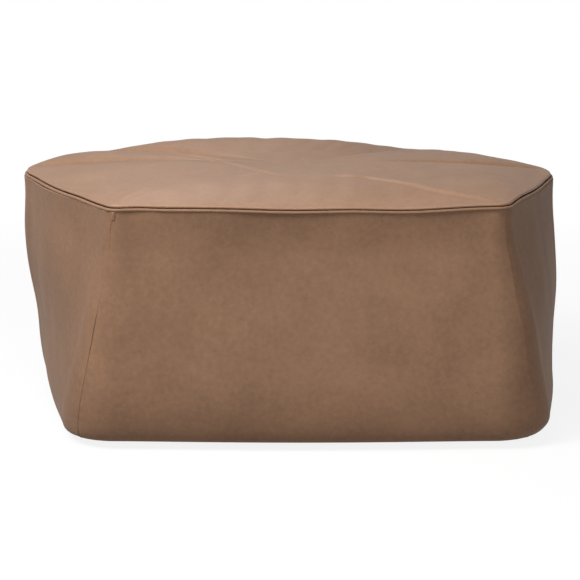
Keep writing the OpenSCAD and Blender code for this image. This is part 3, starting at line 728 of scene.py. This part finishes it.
def settle(grid):
    """Lets a skin rise, sink and draw in with the cover near it."""
    x, z = grid[..., 0], grid[..., 2]
    far = np.linalg.norm(grid[..., :2], axis=-1)
    outer = smooth_step(far, 0.15, 0.32)
    between_tips = 1 - smooth_step(np.abs(x), 0.31, 0.44)
    less_left = 0.75 + 0.25 * smooth_step(x, -0.25, -0.02)
    draw = WAIST * hump(z, WAIST_H, np.where(z > WAIST_H, 0.070, 0.120)) * less_left * between_tips
    # at the two tips the walls stand upright below the seam before they lean in
    left = LEFT_SWELL * hump(z, 0.265, 0.095) - LEFT_LEAN * np.sin(math.pi * np.clip(z / SEAM_H, 0, 1))
    right = RIGHT_SWELL * hump(z, 0.21, 0.10) + RIGHT_FOOT * hump(z, 0.04, 0.04)
    draw -= left * smooth_step(-x, 0.26, 0.46) + right * smooth_step(x, 0.30, 0.46)
    draw = (draw - BELLY * hump(z, 0.10, 0.045)) * outer
    draw *= smooth_step(SEAM_H - z, 0.001, 0.0025) * smooth_step(z, FLOOR_GAP + 0.0005, 0.032)
    grid[..., :2] *= (1 - draw / np.maximum(far, 0.1))[..., None]
    grid[..., 2] += seam_wave(grid) * smooth_step(z, 0.25, SIDE_TOP) * outer
    return grid


def wall_grid(k):
    rows = [(UNDERLAP, FLOOR_GAP + 0.0002), (0.056, FLOOR_GAP), (0.050, FLOOR_GAP), (0.043, FLOOR_GAP)]
    grid = []
    for inset, z in rows + wall_rows(0, fine=15):
        line = line_at(k, inset, FLOOR_GAP if inset > TURN_IN else z, FINE_U)
        whole = length_along(line)[-1]
        even = np.linspace(EDGE_STEPS[-1], whole - EDGE_STEPS[-1], 118)[1:-1]
        places = np.concatenate([EDGE_STEPS, even, whole - EDGE_STEPS[::-1]])
        grid.append(at_height(resample(line, places), z))
    return np.array(grid)


def roll(x, r):
    """How far a sewn edge of radius r has rolled in, at a distance x from its seam."""
    near = np.clip(x, 0, r)
    return r - np.sqrt(np.maximum(r * r - (r - near) ** 2, 0))


# how far each kind of relief moves a wall's leather
SLACK, BUMPS, PUCKERS, CREASES = 0.0009, 0.00035, 0.00035, 0.0009
LAP, DIP, TUCK = 0.0004, 0.0002, 0.0022
FAR_ROLL, NEAR_ROLL = 0.0003, 0.0005       # how round the two upright edges are
SWING, WRAP_SWING = 0.0012, 0.0030         # and how far they swing: more where the welt's ends meet


def shape_wall(k, seed):
    """One wall panel with its ripples, puckers, creases and sewn edges."""
    grid = wall_grid(k)
    normal = grid_normals(grid)
    from_start = np.linalg.norm(np.diff(grid, axis=1), axis=-1).cumsum(1)
    from_start = np.column_stack([np.zeros(len(grid)), from_start])
    from_end = from_start[:, -1:] - from_start
    near = np.minimum(from_start, from_end)
    z = grid[..., 2]
    on_wall = smooth_step(z, 0.02, 0.08)
    push = SLACK * ripples(grid, 0.26, seed) * on_wall * smooth_step(near, 0.0, 0.06)
    push += BUMPS * ripples(grid, 0.07, seed + 1, stretch=(1, 1, 1.8)) * on_wall
    # puckers that the upright seams pull into the leather
    pull = 0.6 + 0.4 * ripples(grid, 0.12, seed + 2)
    pucker = ripples(grid * [0.2, 0.2, 1], 0.017, seed + 3, waves=8)
    push += PUCKERS * pull * pucker * np.exp(-near / 0.014) * smooth_step(near, 0, 0.003)
    # short creases under the welt, near the corners
    under = np.exp(-(SEAM_H - z) / 0.030)
    push += CREASES * under * ripples(grid * [1, 1, 0.25], 0.030, seed + 4) * np.exp(-near / 0.05)
    # the lap: the panel's far end stands proud of the next panel's near end
    push += LAP * hump(from_end, 0, 0.0055) - DIP * hump(from_start, 0, 0.006)
    push -= roll(from_end, FAR_ROLL) + roll(from_start, NEAR_ROLL)
    # the top edge goes in under the welt
    push -= TUCK * smooth_step(z, 0.30, 0.38)
    grid = grid + normal * push[..., None]
    # the upright seam swings to one side just under the welt
    along = np.gradient(grid, axis=1)
    along /= np.linalg.norm(along, axis=-1, keepdims=True)
    first, last = (WRAP_SWING if k == 0 else SWING), (WRAP_SWING if k == 5 else SWING)
    reach = first * np.exp(-from_start / 0.03) + last * np.exp(-from_end / 0.03)
    grid = grid + along * (reach * smooth_step(z, 0.370, 0.394))[..., None]
    return settle(grid)


wall_grids = [shape_wall(k, 100 + 10 * k) for k in range(6)]
for side, grid in zip(SIDES, wall_grids):
    make_piece(f"wall_{side}", grid, grid_faces(*grid.shape[:2]), wall_leather, "leather_side",
               replaces=f"side_panel_{side}", thickness=SKIN_T, fill=0.9)

# %% [markdown]
# ## Top panel
#
# The top is one crowned sheet. Foam swells it between the corners, and a shallow valley
# runs from each corner towards the middle. Its edge rolls down over the welt, and leather
# that is a little too large for its foam lies in long soft creases.

# %% The crown
def crown_height(s, k, share):
    """Height of the crown: s runs from 0 in the middle to 1 at the seam, share along the edge."""
    soft = np.sin(math.pi * np.clip(share, 0, 1) ** math.exp(CROWN_SKEW[k]))
    swell = np.sqrt(soft ** 2 + 0.133 ** 2) - 0.133
    fall = 5 - CROWN_FALL[k] * soft
    corner = CROWN_CORNER[k] * (1 - share) + CROWN_CORNER[(k + 1) % 6] * share
    extra = corner + (CROWN_EXTRA[k] - corner) * swell ** CROWN_ROUND[k]
    return (1 - s ** fall) * (CROWN_MID * (1 - 0.93 * s * s) + extra * s * s)


def crown_columns(step):
    """Even places round the top: for each, its panel and how far along that panel it lies."""
    places = []
    for k in range(6):
        count = int(round(edge_lengths[k] / step))
        places += [(k, i / count) for i in range(count)]
    return places


def crown_ring(places, inset, z=SEAM_H):
    """One closed ring of points at a height, inset from the outline there."""
    ring = []
    for k in range(6):
        line = line_at(k, inset, z, FINE_U)
        shares = np.array([share for panel, share in places if panel == k])
        ring.append(resample(line, shares * length_along(line)[-1]))
    return np.concatenate(ring)


def crown_grid(places, steps):
    ring = crown_ring(places, PANEL_IN)
    panels = np.array([p[0] for p in places])
    shares = np.array([p[1] for p in places])
    rows = []
    for s in steps:
        heights = np.zeros(len(places))
        for k in range(6):
            here = panels == k
            heights[here] = crown_height(s, k, shares[here])
        rows.append(np.column_stack([ring * s, SEAM_H + TOP_RISE + heights]))
    return np.array(rows)


# %% Cloth on a coarse copy of the top
CLOTH_CAP, CLOTH_SHARE = 0.006, 0.3     # the hide is stiffer than the cloth, so it keeps a part of each ripple


def cloth_ripples(points, faces, sewn, frames=20, pressure=4.0, growth=0.02):
    """Swells a coarse skin with Cloth, held at its sewn points, and returns how far each point moved."""
    mesh = bpy.data.meshes.new("trial")
    mesh.from_pydata([tuple(p) for p in points], [], faces)
    trial = bpy.data.objects.new("trial", mesh)
    bpy.context.scene.collection.objects.link(trial)
    held = trial.vertex_groups.new(name="sewn")
    held.add(sewn, 1.0, "REPLACE")
    cloth = trial.modifiers.new("cloth", "CLOTH")
    cloth.settings.quality = 6
    cloth.settings.mass = 0.25
    cloth.settings.bending_stiffness = 0.6
    cloth.settings.use_pressure = True
    cloth.settings.uniform_pressure_force = pressure
    cloth.settings.shrink_min = -growth
    cloth.settings.shrink_max = -growth
    cloth.settings.vertex_group_mass = "sewn"
    cloth.settings.effector_weights.gravity = 0
    scene = bpy.context.scene
    for frame_number in range(1, frames + 1):
        scene.frame_set(frame_number)
    swollen = trial.evaluated_get(bpy.context.evaluated_depsgraph_get()).to_mesh()
    found = np.array([v.co[:] for v in swollen.vertices])
    scene.frame_set(1)
    bpy.data.objects.remove(trial)
    return found - np.asarray(points)


def smoothed(field, reach):
    """A grid of numbers, closed across its columns, averaged over reach rows and columns."""
    wide = np.concatenate([field[:, -reach:], field, field[:, :reach]], 1)
    tall = np.concatenate([wide[:1].repeat(reach, 0), wide, wide[-1:].repeat(reach, 0)])
    kernel = np.hanning(2 * reach + 3)[1:-1]
    kernel /= kernel.sum()
    tall = np.apply_along_axis(lambda v: np.convolve(v, kernel, "valid"), 0, tall)
    return np.apply_along_axis(lambda v: np.convolve(v, kernel, "valid"), 1, tall)


def top_ripples(places, steps):
    """Ripples of the top panel along its normals, from Cloth, for each point of the fine crown."""
    coarse_places = crown_columns(0.013)
    coarse_steps = np.concatenate([[1, 0.990], np.linspace(0.972, 0.03, 30)])
    grid = crown_grid(coarse_places, coarse_steps)
    cols = len(coarse_places)
    centre = np.array([[0, 0, grid[-1, :, 2].mean()]])
    points = np.concatenate([grid.reshape(-1, 3), centre])
    faces = grid_faces(len(grid), cols, closed=True) + fan_faces((len(grid) - 1) * cols, cols, len(points) - 1)
    two_rows = list(range(2 * cols))
    moved = cloth_ripples(points, faces, two_rows)[:-1].reshape(grid.shape)
    out = (moved * grid_normals(grid, closed=True)).sum(-1)
    print(f"cloth moved the top by {out.min() * 1000:.1f} to {out.max() * 1000:.1f} mm")
    fine = CLOTH_SHARE * np.clip(smoothed(out, 1) - smoothed(out, 5), -CLOTH_CAP, CLOTH_CAP)
    fine *= smooth_step(coarse_steps, 0.10, 0.30)[:, None]
    at = [k + share for k, share in coarse_places]
    across = np.array([np.interp([k + share for k, share in places], at, row, period=6) for row in fine])
    return np.array([np.interp(-steps, -coarse_steps, column) for column in across.T]).T


print("cloth", "on")

# %% Folds that stay in the top
# Each fold is a line in plan, with its depth, the height of its crest and its width.
FOLDS = [
    ([(-0.352, 0.282), (-0.277, 0.165), (-0.205, 0.092), (-0.138, 0.031), (-0.075, -0.070), (-0.034, -0.165),
      (0.016, -0.195)], 0.0036, 0.0016, 0.009),
    ([(0.050, -0.190), (0.125, -0.197), (0.180, -0.232), (0.233, -0.262), (0.285, -0.285), (0.330, -0.300)],
     0.0018, 0.0030, 0.007),
    ([(-0.262, -0.318), (-0.244, -0.287), (-0.212, -0.255)], 0.0018, 0.0014, 0.006),
    ([(-0.115, -0.172), (-0.060, -0.184), (-0.010, -0.186)], 0.0014, 0.0006, 0.006),
    ([(0.285, 0.285), (0.232, 0.205), (0.160, 0.115), (0.085, 0.050)], 0.0014, 0.0005, 0.010),
]


def from_line(flat, line):
    """For points in plan: how far each lies to the left of a line, how far along it, and the line's length."""
    line = resample(np.array(line), np.linspace(0, length_along(np.array(line))[-1], 60))
    run = length_along(line)
    gap = flat[..., None, :] - line
    nearest = np.argmin((gap ** 2).sum(-1), -1)
    way = np.gradient(line, axis=0)
    way /= np.linalg.norm(way, axis=1, keepdims=True)
    offset = np.take_along_axis(gap, nearest[..., None, None], -2)[..., 0, :]
    way = way[nearest]
    side = way[..., 0] * offset[..., 1] - way[..., 1] * offset[..., 0]
    past = np.abs((way * offset).sum(-1))
    return side, run[nearest] / run[-1], past


def folds(grid):
    push = np.zeros(grid.shape[:2])
    for line, depth, crest, width in FOLDS:
        side, share, past = from_line(grid[..., :2], line)
        ends = smooth_step(share, 0, 0.15) * (1 - smooth_step(share, 0.85, 1)) * hump(past, 0, 0.01)
        push += ends * (crest * hump(side, width, width) - depth * hump(side, 0, 0.6 * width))
    return push


print("folds", len(FOLDS))

# %% Top panel and its rolled edge
places = crown_columns(0.0050)
steps = np.concatenate([[1, 0.996, 0.990, 0.982], np.linspace(0.972, 0.03, 88)])
crown = crown_grid(places, steps)
# the edge rolls under in a lip: how far out and up each of its lines lies from the crown's own edge
LIP = [(-0.0035, -0.0011), (-0.0012, -0.0011), (0.0002, -0.0008), (0.0013, -0.0001), (0.0019, 0.0011),
       (0.0019, 0.0024), (0.0012, 0.0036)]
outward = at_height((crown_ring(places, PANEL_IN) - crown_ring(places, PANEL_IN + 0.001)) / 0.001, 0.0)
lip_rows = np.array([crown[0] + outward * out + [0, 0, up] for out, up in LIP])
skin = crown + [0, 0, CROWN_LIFT]
inside = smooth_step(1 - steps, 0.0, 0.05)[:, None]
push = folds(skin) + top_ripples(places, steps)
push += 0.0007 * ripples(skin, 0.20, 41) + 0.00022 * ripples(skin, 0.05, 42)
push *= inside
# short puckers across the seam, where the thread gathers the edge
push += 0.00028 * ripples(skin, 0.016, 43, waves=9) * np.exp(-(1 - steps[:, None]) / 0.03) * inside ** 0.3
skin = skin + grid_normals(skin, closed=True) * push[..., None]
top_grid = settle(np.concatenate([lip_rows, skin]))
bowl("top_cushion", top_grid, high=top_grid[-1].mean(0), material=top_leather, slot="leather_top",
     replaces="top_panel", thickness=SKIN_T, fill=0.8)

# %% [markdown]
# ## Welt
#
# The welt is a leather strip folded round a cord and sewn into the seam. Only the round
# part shows, and its two flat legs run in between the panels. The strip is skived thin, so
# it puckers slightly at every stitch. Its ends meet at the front left corner, where they
# are turned down and covered by a short wrap. The cord inside has three twisted strands.

# %% Welt round the top seam
def seam_path(step):
    return settle(at_height(crown_ring(crown_columns(step), WELT_IN), SEAM_H))


def outward_of(path):
    around = np.roll(path, -1, 0) - np.roll(path, 1, 0)
    out = np.column_stack([around[:, 1], -around[:, 0], np.zeros(len(path))])
    return out / np.linalg.norm(out, axis=1, keepdims=True)


path = seam_path(0.003)
out = outward_of(path)
section = [(math.cos(a) * WELT_R * 0.92, math.sin(a) * WELT_R * 0.92 - 0.0003)
           for a in np.radians(np.linspace(-152, 152, 17))]
section = [(-0.0105, -0.0012)] + section + [(-0.0105, 0.0006)]
thread_pull = 1 + 0.06 * ripples(path, 0.012, 7)[:, None]
welt_rows = [path + out * across * (thread_pull if across > -0.004 else 1) + [0, 0, up]
             for across, up in section]
hoop("welt", welt_rows, material=welt_leather, slot="leather_welt", replaces="welt_strip", fill=1.0)

# %% Cord inside the welt
path = seam_path(0.0022)
out = outward_of(path)
turn = np.linspace(0, 2 * math.pi * 150, len(path), endpoint=False)
cord_rows = []
for a in np.linspace(0, 2 * math.pi, 12, endpoint=False):
    radius = 0.00135 + 0.00028 * np.cos(3 * (a - turn))
    cord_rows.append(path + out * (radius * math.cos(a))[:, None] + np.outer(radius * math.sin(a), [0, 0, 1]))
hoop("welt_cord_twist", cord_rows, material=cord_cotton, slot="cotton_cord", replaces="welt_cord")

# %% Wrap over the ends of the welt
front = wall_grids[0]
rows = [i for i in range(len(front)) if 0.376 < front[i, 40, 2] < SIDE_TOP]
wrap = np.array([resample(front[i], np.linspace(0.0006, 0.0058, 9)) for i in rows])
proud = 0.0008 * np.sin(np.linspace(0, math.pi, 9)) ** 0.4
proud = proud * smooth_step(np.linspace(0, 1, len(rows)), 0, 0.2)[:, None] + 0.0010
wrap = wrap + grid_normals(wrap) * (proud - 0.0002)[..., None]
make_piece("welt_wrap", wrap, grid_faces(*wrap.shape[:2]), welt_leather, "leather_welt", thickness=0.0006,
           fill=1.0)

# %% [markdown]
# ## Layers under the cover
#
# Under the leather lie a calico cover, a wadding wrap and three grades of foam. None of
# them shows while the cover is closed, but each is made and finished as its own piece. They
# follow the same wall curve a little further in, so they settle with the leather over them.

# %% Rings of an inner layer
inner_places = crown_columns(0.016)


def wall_rings(d, low=None, high=INNER_TOP):
    """Closed rings of a layer that lies d inside the leather, from the turned edge or from low up."""
    rows = [(i, z) for i, z in wall_rows(d, high, step=0.012, turn_steps=8) if low is None or z > low + 0.002]
    if low is not None:
        at = wall_rows(d, high, step=0.012)
        rows = [(float(np.interp(low, [z for _, z in at], [i for i, _ in at])), low)] + rows
    return [at_height(crown_ring(inner_places, i, z), z) for i, z in rows]


def crown_rings(drop):
    """Closed rings of a layer that lies drop under the top panel."""
    grid = crown_grid(inner_places, [0.92, 0.86, 0.78, 0.68, 0.57, 0.45, 0.32, 0.19, 0.08])
    return list(grid - [0, 0, drop])


def shoulder_ring(drop):
    """The ring where a layer turns from the wall to the crown."""
    return [at_height(crown_ring(inner_places, 0.019 + drop / 2), SEAM_H - 0.002 - drop)]


print("inner rings of", len(inner_places), "points")

# %% Calico and wadding
CALICO_IN, WADDING_IN, FOAM_IN = 0.0055, 0.0068, 0.0160
cover = settle(np.array(wall_rings(CALICO_IN) + shoulder_ring(0.0) + crown_rings(0.004)))
bowl("calico_cover", cover, high=cover[-1].mean(0), material=calico_cloth, slot="calico",
     replaces="inner_cover", thickness=0.0008, fill=0.9)

outer, inner = wall_rings(WADDING_IN), wall_rings(WADDING_IN + 0.008)
wrap_rows = settle(np.array(outer + inner[::-1]))
lumps = grid_normals(wrap_rows, closed=True) * (0.0004 * ripples(wrap_rows, 0.03, 61))[..., None]
hoop("wadding_side", wrap_rows + lumps, material=wadding_fibre, slot="wadding", replaces="batting_side", fill=0.7)

pad = settle(np.array(shoulder_ring(0.0075) + shoulder_ring(0.0015) + crown_rings(0.0054)))
under = settle(np.array(crown_rings(0.0134)))[::-1]
both = np.concatenate([under, pad])
bowl("wadding_top", both, low=both[0].mean(0), high=both[-1].mean(0), material=wadding_fibre, slot="wadding",
     replaces="batting_top", fill=0.7)

# %% Foam
FOAM_SPLIT, FOAM_TOP, BOARD_TOP = 0.1783, 0.360, 0.0284
ON_SPLIT, ON_TOP = FOAM_SPLIT + 0.0002, FOAM_TOP + 0.0002     # each block rests just above the last
foot = at_height(crown_ring(inner_places, 0.0372, BOARD_TOP), BOARD_TOP)
firm = settle(np.array([foot] + wall_rings(FOAM_IN, high=FOAM_SPLIT)))
bowl("foam_firm_block", firm, low=(0, 0, BOARD_TOP), high=(0, 0, FOAM_SPLIT), material=firm_foam,
     slot="foam_firm", replaces="foam_base", fill=1.0)
core = settle(np.array(wall_rings(FOAM_IN, low=ON_SPLIT, high=FOAM_TOP)))
bowl("foam_core_block", core, low=(0, 0, ON_SPLIT), high=(0, 0, FOAM_TOP), material=medium_foam,
     slot="foam_medium", replaces="foam_core", fill=1.0)
soft = settle(np.array(wall_rings(FOAM_IN, low=ON_TOP, high=INNER_TOP - 0.006) + shoulder_ring(0.012)
                       + crown_rings(0.0142)))
bowl("foam_top_pad", soft, low=(0, 0, ON_TOP), high=soft[-1].mean(0), material=soft_foam,
     slot="foam_soft", replaces="foam_topper", fill=1.0)

# %% Stay tapes behind the upright seams
TAPE_IN, TAPE_HALF, TAPE_FOOT = 0.0045, 0.013, 0.05
tape_points, tape_faces = [], []
for k in range(6):
    rows = [(i, z) for i, z in wall_rows(TAPE_IN, INNER_TOP, step=0.010) if z > TAPE_FOOT]
    strip = []
    for inset, z in rows:
        before, after = line_at(k - 1, inset, z, FINE_U), line_at(k, inset, z, FINE_U)
        line = np.concatenate([before[:-1], after])
        middle = length_along(before)[-1]
        strip.append(at_height(resample(line, middle + np.linspace(-TAPE_HALF, TAPE_HALF, 9)), z))
    strip = settle(np.array(strip))
    tape_faces += grid_faces(len(strip), 9, at=len(tape_points))
    tape_points += list(strip.reshape(-1, 3))
make_piece("stay_tapes", tape_points, tape_faces, cotton_tape, "cotton_tape", replaces="seam_tapes",
           thickness=0.0005)

# %% [markdown]
# ## Base
#
# The base is two flat pieces of leather inside the turned-under edges of the walls, with
# the zip between them. Each is cut as a flat outline with holes for the eyelets, and
# bmesh fills the shape between the outline and the holes. Rows of stitching hold the
# folded edges, one round the base and one along each side of the zip.

# %% Two halves of the base
ZIP_END, SLOT_HALF = 0.300, 0.009
GLIDE_SPOTS = BASE["corners"] * 0.68 - MIDDLE * 0.32


def base_outline(side, inset):
    """The outline of one half of the base: the rounded edge, the cut through the middle and the slot."""
    ring = crown_ring(crown_columns(0.010), inset, FLOOR_GAP) + MIDDLE
    ring = ring[side * ring[:, 1] > 0.006]
    start = np.argmax(np.linalg.norm(np.roll(ring, 1, 0) - ring, axis=1))
    ring = np.roll(ring, -start, 0)
    cut, slot_edge = side * 0.00025, side * SLOT_HALF
    a, b = (1 if ring[-1][0] > 0 else -1), (1 if ring[0][0] > 0 else -1)
    edge = [(ring[-1][0], cut), (a * ZIP_END, cut), (a * ZIP_END, slot_edge)]
    edge += [(x, slot_edge) for x in np.linspace(a * ZIP_END, b * ZIP_END, 61)[1:-1]]
    edge += [(b * ZIP_END, slot_edge), (b * ZIP_END, cut), (ring[0][0], cut)]
    return np.concatenate([ring, np.array(edge)]) - MIDDLE


def flat_piece(name, outline, holes, **rest):
    """A flat skin with round holes at the base's height, filled by bmesh."""
    sheet = bmesh.new()
    for loop in [outline] + holes:
        corners = [sheet.verts.new((x, y, FLOOR_GAP)) for x, y in loop]
        for i in range(len(corners)):
            sheet.edges.new((corners[i], corners[(i + 1) % len(corners)]))
    bmesh.ops.triangle_fill(sheet, edges=sheet.edges[:], use_beauty=True)
    bmesh.ops.recalc_face_normals(sheet, faces=sheet.faces)
    if sum(f.normal.z for f in sheet.faces) > 0:
        bmesh.ops.reverse_faces(sheet, faces=sheet.faces)
    sheet.verts.index_update()
    points = [v.co[:] for v in sheet.verts]
    faces = [tuple(v.index for v in f.verts) for f in sheet.faces]
    sheet.free()
    piece = make_piece(name, points, faces, **rest)
    piece.data.polygons.foreach_set("use_smooth", [False] * len(faces))


hole = 0.0051 * away(np.linspace(0, 2 * math.pi, 28, endpoint=False))
for side, label in ((-1, "front"), (1, "back")):
    holes = [spot + hole for spot in GLIDE_SPOTS if side * (spot + MIDDLE)[1] > 0]
    flat_piece(f"base_{label}", base_outline(side, UNDERLAP + 0.0006), holes, material=base_leather,
               slot="leather_base", replaces=f"base_panel_{label}", thickness=LEATHER_T, fill=1.0)

# %% Stitching on the base
THREAD_R = 0.00035
DOWN = np.array([0.0, 0.0, -1.0])


def stitches(name, line, pitch, length, closed=False):
    """A row of stitches along a line: short arched threads, each a tube of six sides."""
    line = np.asarray(line)
    if closed:
        line = np.concatenate([line, line[:1]])
    points, faces = [], []
    for i in range(int(length_along(line)[-1] / pitch)):
        run = resample(line, i * pitch + np.linspace(0, length, 6))
        way = unit(run[-1] - run[0])
        side = np.cross(way, DOWN)
        for j, p in enumerate(run):
            bulge = THREAD_R * (1.0 - 2.6 * abs(j / 5 - 0.5) ** 2.5)
            lift = THREAD_R * (0.55 if 0 < j < 5 else -0.6)
            for a in np.linspace(0, 2 * math.pi, 6, endpoint=False):
                points.append(p + DOWN * (lift + bulge * math.cos(a)) + side * bulge * math.sin(a))
        faces += [(f[0], f[3], f[2], f[1]) for f in grid_faces(6, 6, closed=True, at=i * 36)]
        faces += [tuple(i * 36 + c for c in range(5, -1, -1)), tuple(i * 36 + 30 + c for c in range(6))]
    make_piece(name, points, faces, waxed_thread, "leather_base")


ring = crown_ring(crown_columns(0.010), UNDERLAP + 0.0035, FLOOR_GAP)
stitches("stitching_base_edge", at_height(ring, FLOOR_GAP), 0.0062, 0.0046, closed=True)
for side, label in ((-1, "front"), (1, "back")):
    line = [(x, side * (SLOT_HALF + 0.003), FLOOR_GAP) - np.append(MIDDLE, 0) for x in (-ZIP_END, ZIP_END)]
    stitches(f"stitching_zip_{label}", line, 0.0055, 0.0041)

# %% [markdown]
# ## Finish of the hard parts
#
# The board, glides, screws, nuts, eyelets and zip are shown as the frame gives them, because
# their shapes are exact. Each gets a material for its own finish, from the same groups.

# %% Materials on the frame's own nodes
FINISHES = {
    "base_board": board_plywood, "floor_glides": glide_nylon, "glide_screws": zinc_plate, "tee_nuts": zinc_plate,
    "base_eyelets": eyelet_brass, "zip_tape_front": zip_tape, "zip_tape_back": zip_tape,
    "zip_teeth_front": zip_teeth, "zip_teeth_back": zip_teeth, "zip_stops": zip_metal, "zip_slider": zip_metal,
    "zip_pull": zip_metal, "zip_end_tabs": base_leather,
}
for name, material in FINISHES.items():
    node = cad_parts[name]
    if not node.material_slots:
        node.data.materials.append(material)
    for slot in node.material_slots:
        slot.material = material
print("finished", len(FINISHES), "nodes")
